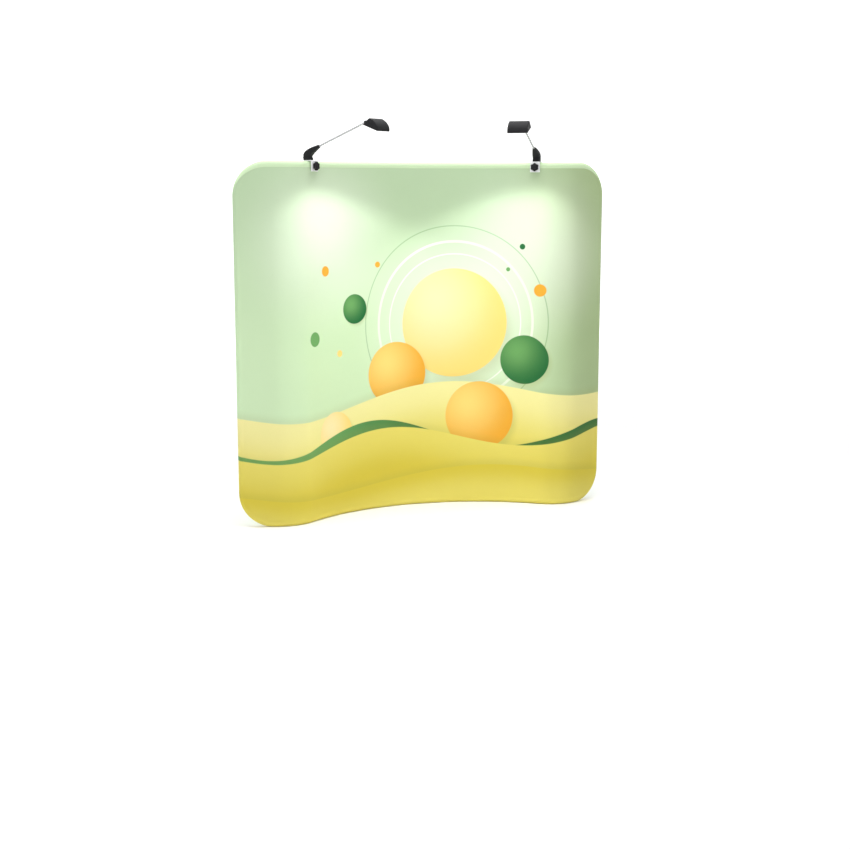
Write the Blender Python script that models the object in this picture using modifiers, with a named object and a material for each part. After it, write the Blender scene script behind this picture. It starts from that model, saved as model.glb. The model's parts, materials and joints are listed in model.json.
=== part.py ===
# A tabletop tension fabric display: a swaged aluminium tube frame in a zipped
# pillowcase cover, lit by two clamp-on arm lamps. Metres, +Z up, front to -Y.
#
# The frame and its cover are modelled flat, in the XZ plane, and then wrapped
# along the curve that the frame follows in plan.

import bmesh
import bpy
from math import atan2, cos, pi, radians, sin
from mathutils import Matrix, Vector

# Plan curve of the frame, on the tubes' centreline: a concave middle arc, a
# return bend the other way at each end, and a straight wing
MIDDLE_RADIUS = 0.932
MIDDLE_HALF_ANGLE = radians(38.8)
RETURN_RADIUS = 0.175
RETURN_ANGLE = radians(60.0)
WING_STRAIGHT = 0.014

# Elevation
HEIGHT = 1.670
CORNER_RADIUS = 0.139
CORNER_LEG = 0.080
REST_FLAT_DEPTH = 0.0005

# Tubes and their joints
TUBE_RADIUS = 0.016
TUBE_WALL = 0.0013
SPIGOT_WALL = 0.0014
SPIGOT_LENGTH = 0.045
SHOULDER_LENGTH = 0.003
TEE_HALF_COLLAR = 0.020
TEE_STUB = 0.032
TEE_STUB_RADIUS = 0.0152
TEE_BORE_STEP = 0.0006
POLE_SPLIT_HEIGHT = 0.840

# Snap buttons: a leaf spring inside the spigot that carries a pin
BUTTON_RADIUS = 0.0028
BUTTON_PROUD = 0.0018
BUTTON_HOLE_RADIUS = 0.0037
BUTTON_INSET = 0.013
LEAF_LENGTH = 0.027
LEAF_WIDTH = 0.0060
LEAF_THICKNESS = 0.0008
NOSE_RADIUS_SHARE = 0.7
NOSE_DROP_SHARE = 0.1

# Fabric cover and its zip, low on the back panel
COVER_WALL = 0.0007
ZIP_HEIGHT = 0.062
ZIP_HALF_LENGTH = 0.600
ZIP_SLOT = 0.004
ZIP_TAPE_HEIGHT = 0.026
ZIP_TAPE_THICKNESS = 0.0008
ZIP_COIL_HEIGHT = 0.005
ZIP_COIL_THICKNESS = 0.0017
COIL_CREST_SHARE = 0.6
SLIDER_LENGTH = 0.013
SLIDER_PLATE = 0.0014
SLIDER_FLANGE = 0.0016
BAIL_RADIUS = 0.0009
BAIL_EAR = 0.0014
BAIL_RISE = 0.0032
PULL_LENGTH = 0.034
PULL_WIDTH = 0.008
PULL_THICKNESS = 0.0014
PULL_EYE_WIDTH = 0.0036
PULL_EYE_WALL = 0.0012

# Lamps: how far in from the middle arc's ends they are clamped, and the clamp
LAMP_SETBACK = 0.032
BRACKET_WIDTH = 0.048
BRACKET_PLATE = 0.0035
BRACKET_DROP = 0.029
SCREW_DROP = 0.005
SCREW_RADIUS = 0.004
PAD_RADIUS = 0.009
PAD_THICKNESS = 0.003
PAD_SOCKET = 0.002
PAD_TRAVEL = 0.002
KNOB_RADIUS = 0.0198
KNOB_THICKNESS = 0.012
KNOB_BOSS_RADIUS = 0.0095
KNOB_BOSS_LENGTH = 0.002
KNOB_STANDOFF = 0.001
KNOB_BORE_DEPTH = 0.009
KNOB_LOBES = 6
KNOB_WAVE_SHARE = 0.08
STUD_RADIUS = 0.0045
STUD_SETBACK = 0.010
STUD_REACH = 0.012
GLAND_RADIUS = 0.0052
GLAND_BORE = 0.0027
GLAND_LENGTH = 0.009
GLAND_RISE = 0.012
GLAND_SHOULDER_SHARE = 0.8
GLAND_MOUTH_SHARE = 0.65

# Lamp elbow, arm and head, seen from the side: reach is out from the tube's
# axis to the front, rise is up from it
ELBOW_WIDTH = 0.037
ELBOW_TIP_WIDTH = 0.014
ELBOW_BACK = 0.030
ELBOW_FRONT = 0.010
ELBOW_KNEE_RISE = 0.048
ELBOW_CROWN_SETBACK = 0.021
ELBOW_CROWN_RISE = 0.072
ELBOW_TIP_REACH = 0.0545
ELBOW_TIP_RISE = 0.0835
ELBOW_TIP_DEPTH = 0.0125
ELBOW_THROAT_REACH = 0.004
ELBOW_THROAT_RISE = 0.037
ELBOW_EDGE = 0.0025
ARM_RADIUS = 0.0042
ARM_SOCKET = 0.018
HINGE_REACH = 0.315
HINGE_RISE = 0.182
KNUCKLE_RADIUS = 0.0062
KNUCKLE_WIDTH = 0.010
PIN_RADIUS = 0.002
EAR_RADIUS = 0.0065
EAR_WIDTH = 0.004
HEAD_WIDTH = 0.094
HEAD_LENGTH = 0.0825
HEAD_HEIGHT = 0.0385
HEAD_BROW = 0.023
HEAD_SETBACK = 0.0185
HEAD_DROP = 0.0067
HEAD_TILT = radians(20.4)
HEAD_WALL = 0.002
HEAD_EDGE = 0.0025
HEAD_CROWN_FACETS = 5
LENS_THICKNESS = 0.002
LENS_RECESS = 0.0012
LENS_MARGIN = 0.0008
LENS_EDGE = 0.0006
TRAY_DEPTH = 0.006
TRAY_WALL = 0.0014
TRAY_MARGIN = 0.005

# Clearance between pieces that touch, and how far a cutter runs past a face
SEAT_GAP = 0.0003
OVERRUN = 0.002

# Distances for welding points that coincide
WELD = 0.000001
SEAM_WELD = 0.00001

# Facets: the middle arc per half, each return bend, each corner, round a tube
MIDDLE_FACETS = 8
RETURN_FACETS = 4
CORNER_FACETS = 5
TUBE_SIDES = 12

SIDE_SHARE = cos(pi / TUBE_SIDES)
BORE_RADIUS = TUBE_RADIUS - TUBE_WALL
SPIGOT_RADIUS = BORE_RADIUS - SEAT_GAP / SIDE_SHARE
SPIGOT_BORE = SPIGOT_RADIUS - SPIGOT_WALL
COVER_INNER = (TUBE_RADIUS + SEAT_GAP) / SIDE_SHARE
COVER_OUTER = COVER_INNER + COVER_WALL
BOTTOM_AXIS = COVER_OUTER - REST_FLAT_DEPTH
TOP_AXIS = HEIGHT - COVER_OUTER

PARTS = "tabletop_tension_fabric_display"


def start_scene():
    for obj in list(bpy.data.objects):
        bpy.data.objects.remove(obj)
    collection = bpy.data.collections.new(PARTS)
    bpy.context.scene.collection.children.link(collection)
    return collection


parts = start_scene()


# Plan curve

def plan_facets():
    """Length and heading of each straight facet from the middle to the right."""
    facets = []
    step = MIDDLE_HALF_ANGLE / MIDDLE_FACETS
    for i in range(MIDDLE_FACETS):
        facets.append((2 * MIDDLE_RADIUS * sin(step / 2), (i + 0.5) * step))
    turn = RETURN_ANGLE / RETURN_FACETS
    for i in range(RETURN_FACETS):
        facets.append((2 * RETURN_RADIUS * sin(turn / 2), MIDDLE_HALF_ANGLE - (i + 0.5) * turn))
    facets.append((WING_STRAIGHT + CORNER_RADIUS + COVER_OUTER, MIDDLE_HALF_ANGLE - RETURN_ANGLE))
    return facets


def plan_stations():
    """Stations (distance along, point, back normal) of the right half."""
    facets = plan_facets()
    stations = []
    along = 0.0
    point = Vector((0.0, 0.0))
    before = -facets[0][1]
    for length, heading in facets:
        mean = (before + heading) / 2
        mitre = 1 / cos((heading - before) / 2)
        stations.append((along, point.copy(), Vector((sin(mean), cos(mean))) * mitre))
        along += length
        point += Vector((cos(heading), -sin(heading))) * length
        before = heading
    stations.append((along, point.copy(), Vector((sin(before), cos(before)))))
    return stations


STATIONS = plan_stations()
MIDDLE_END = STATIONS[MIDDLE_FACETS][0]
WING_START = STATIONS[MIDDLE_FACETS + RETURN_FACETS][0]
SIDE_AXIS = WING_START + WING_STRAIGHT + CORNER_RADIUS
LAMP_OFFSET = MIDDLE_END - LAMP_SETBACK
ZIP_AXIS = Vector((0.0, -MIDDLE_RADIUS, ZIP_HEIGHT))


def wrapped(flat):
    """Carry a point of the flat model to its place along the plan curve."""
    side = -1.0 if flat.x < 0 else 1.0
    along = abs(flat.x)
    last = len(STATIONS) - 2
    index = max(i for i in range(last + 1) if i == 0 or STATIONS[i][0] <= along + WELD)
    (start, here, normal), (end, there, next_normal) = STATIONS[index], STATIONS[index + 1]
    share = (along - start) / (end - start)
    place = here.lerp(there, share) + normal.lerp(next_normal, share) * flat.y
    return Vector((side * place.x, place.y, flat.z))


def turn_at(along):
    """Turn about Z of the facet that holds this distance along."""
    side = -1.0 if along < 0 else 1.0
    index = max(i for i, station in enumerate(STATIONS[:-1]) if i == 0 or station[0] <= abs(along))
    step = STATIONS[index + 1][1] - STATIONS[index][1]
    return side * atan2(step.y, step.x)


# Modelling helpers

def link(name, mesh):
    obj = bpy.data.objects.new(name, mesh)
    parts.objects.link(obj)
    return obj


def finish(name, colour, roughness, metallic=0.0, alpha=1.0):
    material = bpy.data.materials.new(name)
    material.use_nodes = True
    shader = material.node_tree.nodes["Principled BSDF"]
    shader.inputs["Base Color"].default_value = (*colour, 1.0)
    shader.inputs["Roughness"].default_value = roughness
    shader.inputs["Metallic"].default_value = metallic
    shader.inputs["Alpha"].default_value = alpha
    return material


def evaluated_mesh(obj):
    """The object's mesh with its modifiers applied, welded, in world space."""
    graph = bpy.context.evaluated_depsgraph_get()
    mesh = bpy.data.meshes.new_from_object(obj.evaluated_get(graph), depsgraph=graph)
    mesh.transform(obj.matrix_world)
    bm = bmesh.new()
    bm.from_mesh(mesh)
    bmesh.ops.remove_doubles(bm, verts=bm.verts, dist=WELD)
    bm.to_mesh(mesh)
    bm.free()
    return mesh


def baked(obj):
    """Replace an object by its evaluated mesh, with no modifiers left."""
    bpy.context.view_layer.update()
    mesh = evaluated_mesh(obj)
    name = obj.name
    bpy.data.objects.remove(obj)
    return link(name, mesh)


def combined(target, tool, operation="DIFFERENCE"):
    """Cut or join one closed piece with another, which is used up."""
    modifier = target.modifiers.new("combine", "BOOLEAN")
    modifier.operation = operation
    modifier.object = tool
    result = baked(target)
    bpy.data.objects.remove(tool)
    return result


def solid(name, build):
    """A mesh object from a function that fills a bmesh."""
    mesh = bpy.data.meshes.new(name)
    bm = bmesh.new()
    build(bm)
    bmesh.ops.recalc_face_normals(bm, faces=bm.faces)
    bm.to_mesh(mesh)
    bm.free()
    return link(name, mesh)


def block(name, low, high):
    """A box between two corners."""
    low, high = Vector(low), Vector(high)
    size = high - low

    def build(bm):
        place = Matrix.Translation((low + high) / 2) @ Matrix.Diagonal((*size, 1.0))
        bmesh.ops.create_cube(bm, size=1.0, matrix=place)
    return solid(name, build)


def cylinder(name, start, end, radius, sides=TUBE_SIDES):
    """A cylinder between two points, with flats to the front and top."""
    start, end = Vector(start), Vector(end)
    axis = end - start
    turn = axis.to_track_quat("Z", "Y").to_matrix().to_4x4()
    place = Matrix.Translation((start + end) / 2) @ turn @ Matrix.Rotation(pi / sides, 4, "Z")

    def build(bm):
        bmesh.ops.create_cone(bm, cap_ends=True, segments=sides, radius1=radius, radius2=radius,
                              depth=axis.length, matrix=place)
    return solid(name, build)


def turned(name, profile, centre, axis, steps=TUBE_SIDES):
    """A turned piece: (radius, distance along the axis) points, bottom to top."""
    mesh = bpy.data.meshes.new(name)
    corners = [Vector((radius, 0.0, along)) for radius, along in reversed(profile)]
    mesh.from_pydata(corners, [(i, i + 1) for i in range(len(corners) - 1)], [])
    obj = link(name, mesh)
    screw = obj.modifiers.new("turn", "SCREW")
    screw.axis = "Z"
    screw.steps = steps
    screw.render_steps = steps
    screw.use_merge_vertices = True
    screw.merge_threshold = SEAM_WELD
    obj.matrix_world = Matrix.Translation(centre) @ Vector(axis).to_track_quat("Z", "Y").to_matrix().to_4x4()
    return baked(obj)


def outline_plate(name, points, half_thickness, plane):
    """A flat outline, filled and extruded both ways, stood up by a plane matrix."""
    curve = bpy.data.curves.new(name, "CURVE")
    curve.dimensions = "2D"
    curve.fill_mode = "BOTH"
    curve.extrude = half_thickness
    spline = curve.splines.new("POLY")
    spline.points.add(len(points) - 1)
    for point, (x, y) in zip(spline.points, points):
        point.co = (x, y, 0.0, 1.0)
    spline.use_cyclic_u = True
    obj = bpy.data.objects.new(name, curve)
    parts.objects.link(obj)
    obj.matrix_world = plane
    plate = baked(obj)
    bm = bmesh.new()
    bm.from_mesh(plate.data)
    bmesh.ops.dissolve_limit(bm, angle_limit=radians(1), verts=bm.verts, edges=bm.edges)
    bmesh.ops.recalc_face_normals(bm, faces=bm.faces)
    bm.to_mesh(plate.data)
    bm.free()
    return plate


# A drawing in (y, z) that is extruded along x, and one in (x, z) extruded along y
SIDE_VIEW = Matrix(((0, 0, 1, 0), (1, 0, 0, 0), (0, 1, 0, 0), (0, 0, 0, 1)))
FRONT_VIEW = Matrix(((1, 0, 0, 0), (0, 0, -1, 0), (0, 1, 0, 0), (0, 0, 0, 1)))


def rounded(obj, width, segments=2, limit=radians(40)):
    """Round the sharp edges of a piece."""
    bevel = obj.modifiers.new("round", "BEVEL")
    bevel.width = width
    bevel.segments = segments
    bevel.limit_method = "ANGLE"
    bevel.angle_limit = limit
    return baked(obj)


def rod(name, path):
    """A straight or bent round bar: path is (x, z, radius) points, flat model."""
    curve = bpy.data.curves.new(name, "CURVE")
    curve.dimensions = "3D"
    curve.bevel_depth = TUBE_RADIUS
    curve.bevel_resolution = (TUBE_SIDES - 4) // 2
    curve.use_fill_caps = True
    spline = curve.splines.new("POLY")
    spline.points.add(len(path) - 1)
    for point, (x, z, radius) in zip(spline.points, path):
        point.co = (x, 0.0, z, 1.0)
        point.radius = radius / TUBE_RADIUS
        point.tilt = pi / TUBE_SIDES
    obj = bpy.data.objects.new(name, curve)
    parts.objects.link(obj)
    return baked(obj)


def set_origin(obj, origin):
    """Put an object's origin at a world point, without moving its shape."""
    origin = Vector(origin)
    obj.data.transform(Matrix.Translation(-origin))
    obj.location = origin
    return obj


def wrap(obj):
    """Carry a flat piece to its place along the plan curve."""
    for vertex in obj.data.vertices:
        vertex.co = wrapped(vertex.co)
    obj.data.update()
    return obj


def shade(obj):
    obj.data.shade_smooth()
    obj.data.set_sharp_from_angle(angle=radians(35))
    return obj


# Frame tubes, flat model

def station_points(start, end, z, radius):
    """Path points at the stations strictly between two distances along."""
    marks = [side * station[0] for station in STATIONS for side in (-1, 1)]
    marks = sorted(set(m for m in marks if min(start, end) < m < max(start, end)), reverse=start > end)
    return [(mark, z, radius) for mark in marks]


def corner_points(side, upper, radius):
    """Path points round a corner, from the horizontal tube to the upright."""
    centre_x = SIDE_AXIS - CORNER_RADIUS
    centre_z = TOP_AXIS - CORNER_RADIUS if upper else BOTTOM_AXIS + CORNER_RADIUS
    rise = 1.0 if upper else -1.0
    points = []
    for i in range(CORNER_FACETS + 1):
        angle = (pi / 2) * (1 - i / CORNER_FACETS)
        x = centre_x + CORNER_RADIUS * cos(angle)
        z = centre_z + rise * CORNER_RADIUS * sin(angle)
        points.append((side * x, z, radius))
    return points


def moved(point, direction, distance, radius):
    return (point[0] + direction[0] * distance, point[1] + direction[1] * distance, radius)


def swaged_tube(name, corners, spigot_start=None, spigot_end=None):
    """A hollow tube along (x, z) corners, with a swaged spigot at either end.

    spigot_start and spigot_end are the spigot's direction out of that end.
    """
    body = [(x, z) for x, z in corners]
    outer = [(*point, TUBE_RADIUS) for point in body]
    inner = [(*point, BORE_RADIUS) for point in body]

    def ended(path, bore, direction, first):
        end = path[0] if first else path[-1]
        rest = path[1:] if first else path[:-1]
        wide = end[2]
        if direction is None:
            other = rest[0] if first else rest[-1]
            away = Vector((end[0] - other[0], end[1] - other[1])).normalized()
            extra = [moved(end, away, OVERRUN, wide)] if bore else [end]
        else:
            slim = SPIGOT_BORE if bore else SPIGOT_RADIUS
            reach = SPIGOT_LENGTH + (OVERRUN if bore else 0.0)
            back = SHOULDER_LENGTH * (2 if bore else 1)
            step = SHOULDER_LENGTH if bore else 0.0
            extra = [moved(end, direction, -back, wide), moved(end, direction, -step, slim),
                     moved(end, direction, reach, slim)]
        return (extra[::-1] + rest) if first else (rest + extra)

    for first, direction in ((True, spigot_start), (False, spigot_end)):
        outer = ended(outer, False, direction, first)
        inner = ended(inner, True, direction, first)
    tube = rod(name, outer)
    return combined(tube, rod("bore", inner))


def button_hole(tube, joint, along, facing):
    """Cut the snap button's hole; joint is where the two tubes meet."""
    centre = Vector((joint[0] + along[0] * BUTTON_INSET, 0.0, joint[1] + along[1] * BUTTON_INSET))
    out = Vector((facing[0], 0.0, facing[1]))
    cutter = cylinder("button_hole", centre + out * (SPIGOT_BORE - OVERRUN),
                      centre + out * (TUBE_RADIUS + OVERRUN), BUTTON_HOLE_RADIUS, sides=8)
    return combined(tube, cutter)


def snap_button(name, joint, along, facing):
    """Leaf spring and pin; along points to the spigot's mouth, facing outwards."""
    run = Vector((along[0], 0.0, along[1]))
    out = Vector((facing[0], 0.0, facing[1]))
    across = run.cross(out)
    axis_point = Vector((joint[0], 0.0, joint[1]))
    pin = axis_point + run * BUTTON_INSET
    top = SPIGOT_BORE * SIDE_SHARE - SEAT_GAP
    tip = TUBE_RADIUS * SIDE_SHARE + BUTTON_PROUD
    low = -BUTTON_RADIUS
    leaf_corners = [pin + run * s + across * w + out * h
                    for s in (low - SEAT_GAP, LEAF_LENGTH)
                    for w in (-LEAF_WIDTH / 2, LEAF_WIDTH / 2)
                    for h in (top - LEAF_THICKNESS, top)]

    def build(bm):
        for corner in leaf_corners:
            bm.verts.new(corner)
        bmesh.ops.convex_hull(bm, input=bm.verts)
    leaf = solid(name, build)
    shank = turned("pin", [(0.0, top - LEAF_THICKNESS / 2), (BUTTON_RADIUS, top - LEAF_THICKNESS / 2),
                           (BUTTON_RADIUS, tip - BUTTON_RADIUS / 2),
                           (BUTTON_RADIUS * NOSE_RADIUS_SHARE, tip - BUTTON_RADIUS * NOSE_DROP_SHARE),
                           (0.0, tip)], pin, out, steps=8)
    button = combined(leaf, shank, "UNION")
    pivot = pin + run * LEAF_LENGTH + out * top
    return button, pivot


def frame_joint_list():
    """Name, meeting point, direction to the spigot's mouth, and facing of each button."""
    joints = []
    for upper in (True, False):
        level = TOP_AXIS if upper else BOTTOM_AXIS
        inward = (0.0, -1.0) if upper else (0.0, 1.0)
        word = "top" if upper else "bottom"
        stub = (0.0, level + inward[1] * TEE_STUB)
        joints.append((word + "_tee_side", (TEE_HALF_COLLAR, level), (1.0, 0.0), inward))
        joints.append((word + "_tee_pole", stub, inward, (1.0, 0.0)))
        for side, hand in ((-1.0, "left"), (1.0, "right")):
            joints.append((word + "_" + hand, (side * MIDDLE_END, level), (-side, 0.0), inward))
            leg = level + inward[1] * (CORNER_RADIUS + CORNER_LEG)
            joints.append((("upper" if upper else "lower") + "_upright_" + hand,
                           (side * SIDE_AXIS, leg), (0.0, -inward[1]), (-side, 0.0)))
    return joints


JOINTS = {name: (joint, along, facing) for name, joint, along, facing in frame_joint_list()}


def build_frame(metal, nylon):
    for upper in (True, False):
        level = TOP_AXIS if upper else BOTTOM_AXIS
        inward = -1.0 if upper else 1.0
        word = "top" if upper else "bottom"
        for side, hand in ((-1.0, "left"), (1.0, "right")):
            start = side * TEE_HALF_COLLAR
            end = side * MIDDLE_END
            path = [(start + side * SEAT_GAP, level)]
            path += [(x, z) for x, z, r in station_points(start, end, level, TUBE_RADIUS)]
            path.append((end - side * SEAT_GAP, level))
            tube = swaged_tube(word + "_tube_" + hand, path)
            tube = button_hole(tube, *JOINTS[word + "_" + hand])
            if side > 0:
                tube = button_hole(tube, *JOINTS[word + "_tee_side"])
            yield wrap(tube), metal

            path = [(end, level)]
            path += [(x, z) for x, z, r in station_points(end, side * (WING_START + SEAT_GAP), level, 0.0)]
            path += [(x, z) for x, z, r in corner_points(side, upper, 0.0)]
            leg = (side * SIDE_AXIS, level + inward * (CORNER_RADIUS + CORNER_LEG))
            path.append(leg)
            corner = swaged_tube("corner_tube_" + ("upper_" if upper else "lower_") + hand, path,
                                 spigot_start=(-side, 0.0))
            corner = button_hole(corner, *JOINTS[word + "_" + hand])
            corner = button_hole(corner, *JOINTS[("upper" if upper else "lower") + "_upright_" + hand])
            yield wrap(corner), metal

        tee_ends = TEE_HALF_COLLAR + SPIGOT_LENGTH
        spigot = SPIGOT_RADIUS
        bar = rod(word + "_tee", [(-tee_ends, level, spigot), (-TEE_HALF_COLLAR, level, spigot),
                                  (-TEE_HALF_COLLAR + SEAT_GAP, level, TUBE_RADIUS),
                                  (0.0, level, TUBE_RADIUS),
                                  (TEE_HALF_COLLAR - SEAT_GAP, level, TUBE_RADIUS),
                                  (TEE_HALF_COLLAR, level, spigot), (tee_ends, level, spigot)])
        shoulder = level + inward * TEE_STUB
        stub = rod("stub", [(0.0, level, TEE_STUB_RADIUS),
                            (0.0, shoulder - inward * SHOULDER_LENGTH, TEE_STUB_RADIUS),
                            (0.0, shoulder, spigot), (0.0, shoulder + inward * SPIGOT_LENGTH, spigot)])
        tee = combined(bar, stub, "UNION")
        tee = combined(tee, rod("bore", [(-tee_ends - OVERRUN, level, SPIGOT_BORE), (0.0, level, SPIGOT_BORE),
                                         (tee_ends + OVERRUN, level, SPIGOT_BORE)]))
        stub_bore = SPIGOT_BORE - TEE_BORE_STEP
        tee = combined(tee, rod("bore", [(0.0, level, stub_bore),
                                         (0.0, shoulder - inward * 2 * SHOULDER_LENGTH, stub_bore),
                                         (0.0, shoulder - inward * SHOULDER_LENGTH, SPIGOT_BORE),
                                         (0.0, shoulder + inward * (SPIGOT_LENGTH + OVERRUN), SPIGOT_BORE)]))
        tee = button_hole(tee, *JOINTS[word + "_tee_side"])
        tee = button_hole(tee, *JOINTS[word + "_tee_pole"])
        yield wrap(tee), nylon

    for side, hand in ((-1.0, "left"), (1.0, "right")):
        low = BOTTOM_AXIS + CORNER_RADIUS + CORNER_LEG + SEAT_GAP
        high = TOP_AXIS - CORNER_RADIUS - CORNER_LEG - SEAT_GAP
        x = side * SIDE_AXIS
        upright = swaged_tube("side_upright_" + hand, [(x, low), (x, high)],
                              spigot_start=(0.0, -1.0), spigot_end=(0.0, 1.0))
        for word in ("lower", "upper"):
            upright = button_hole(upright, *JOINTS[word + "_upright_" + hand])
        yield wrap(upright), metal

    low = BOTTOM_AXIS + TEE_STUB + SEAT_GAP
    high = TOP_AXIS - TEE_STUB - SEAT_GAP
    lower = swaged_tube("centre_pole_lower", [(0.0, low), (0.0, POLE_SPLIT_HEIGHT - SEAT_GAP)])
    yield wrap(button_hole(lower, *JOINTS["bottom_tee_pole"])), metal
    upper = swaged_tube("centre_pole_upper", [(0.0, POLE_SPLIT_HEIGHT), (0.0, high)],
                        spigot_start=(0.0, -1.0))
    yield wrap(button_hole(upper, *JOINTS["top_tee_pole"])), metal


def build_buttons(steel):
    for name, (joint, along, facing) in JOINTS.items():
        button, pivot = snap_button("snap_button_" + name, joint, along, facing)
        yield set_origin(wrap(button), wrapped(pivot)), steel


# Cover and zip, flat model

def cover_outline():
    """The cover's edge line on the tubes' centreline, as (x, z) points."""
    points = [(x, z) for x, z, r in corner_points(1.0, True, 0.0)][::-1]
    top = [(x, z) for x, z, r in station_points(WING_START + OVERRUN, -WING_START - OVERRUN, TOP_AXIS, 0.0)]
    points += top
    points += [(x, z) for x, z, r in corner_points(-1.0, True, 0.0)]
    points += [(x, z) for x, z, r in corner_points(-1.0, False, 0.0)][::-1]
    points += [(x, BOTTOM_AXIS) for x, z in top[::-1]]
    points += [(x, z) for x, z, r in corner_points(1.0, False, 0.0)]
    return points


def pillow(name, radius):
    """A flat slab with a half-round edge of this radius round the outline."""
    curve = bpy.data.curves.new(name, "CURVE")
    curve.dimensions = "2D"
    curve.fill_mode = "BOTH"
    curve.bevel_depth = radius
    curve.bevel_resolution = TUBE_SIDES // 4 - 1
    spline = curve.splines.new("POLY")
    points = cover_outline()
    spline.points.add(len(points) - 1)
    for point, (x, z) in zip(spline.points, points):
        point.co = (x, z, 0.0, 1.0)
    spline.use_cyclic_u = True
    obj = bpy.data.objects.new(name, curve)
    parts.objects.link(obj)
    obj.matrix_world = FRONT_VIEW
    slab = baked(obj)
    bm = bmesh.new()
    bm.from_mesh(slab.data)
    bmesh.ops.dissolve_limit(bm, angle_limit=radians(1), verts=bm.verts, edges=bm.edges)
    bmesh.ops.recalc_face_normals(bm, faces=bm.faces)
    bm.to_mesh(slab.data)
    bm.free()
    return slab


def sliced(obj):
    """Cut a flat piece at every station, so that it can follow the plan curve."""
    bm = bmesh.new()
    bm.from_mesh(obj.data)
    for station in STATIONS[:-1]:
        for side in (-1, 1):
            geometry = bm.verts[:] + bm.edges[:] + bm.faces[:]
            bmesh.ops.bisect_plane(bm, geom=geometry, dist=WELD, plane_co=(side * station[0], 0, 0),
                                   plane_no=(1, 0, 0))
    bm.to_mesh(obj.data)
    bm.free()
    return obj


def build_cover(fabric):
    cover = combined(pillow("fabric_cover", COVER_OUTER), pillow("hollow", COVER_INNER))
    below = block("table", (-2 * SIDE_AXIS, -HEIGHT, -HEIGHT), (2 * SIDE_AXIS, HEIGHT, 0.0))
    cover = combined(cover, below)
    slot = block("slot", (-ZIP_HALF_LENGTH, COVER_INNER - OVERRUN, ZIP_HEIGHT - ZIP_SLOT / 2),
                 (ZIP_HALF_LENGTH, COVER_OUTER + OVERRUN, ZIP_HEIGHT + ZIP_SLOT / 2))
    cover = combined(cover, slot)
    yield wrap(sliced(cover)), fabric


def build_zip(tape_finish):
    face = COVER_OUTER + SEAT_GAP
    skin = face + ZIP_TAPE_THICKNESS
    crest = face + ZIP_COIL_THICKNESS
    half = ZIP_TAPE_HEIGHT / 2
    coil = ZIP_COIL_HEIGHT / 2
    section = [(face, -half), (skin, -half), (skin, -coil), (crest, -coil * COIL_CREST_SHARE),
               (crest, coil * COIL_CREST_SHARE), (skin, coil), (skin, half), (face, half)]
    section = [(y, z + ZIP_HEIGHT) for y, z in section]
    tape = outline_plate("zip_tape", section, ZIP_HALF_LENGTH, SIDE_VIEW)
    yield wrap(sliced(tape)), tape_finish


def on_tape(side, station):
    """Matrix of a piece that rides on the zip at a plan station."""
    along, point, normal = STATIONS[station]
    place = wrapped(Vector((side * along, 0.0, ZIP_HEIGHT)))
    return Matrix.Translation(place) @ Matrix.Rotation(-side * atan2(normal.x, normal.y), 4, "Z")


def slider_station():
    """The last station on the middle arc where the slider has all its length on the tape."""
    return max(i for i in range(MIDDLE_FACETS) if i == 0 or STATIONS[i][0] + SLIDER_LENGTH < ZIP_HALF_LENGTH)


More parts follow.
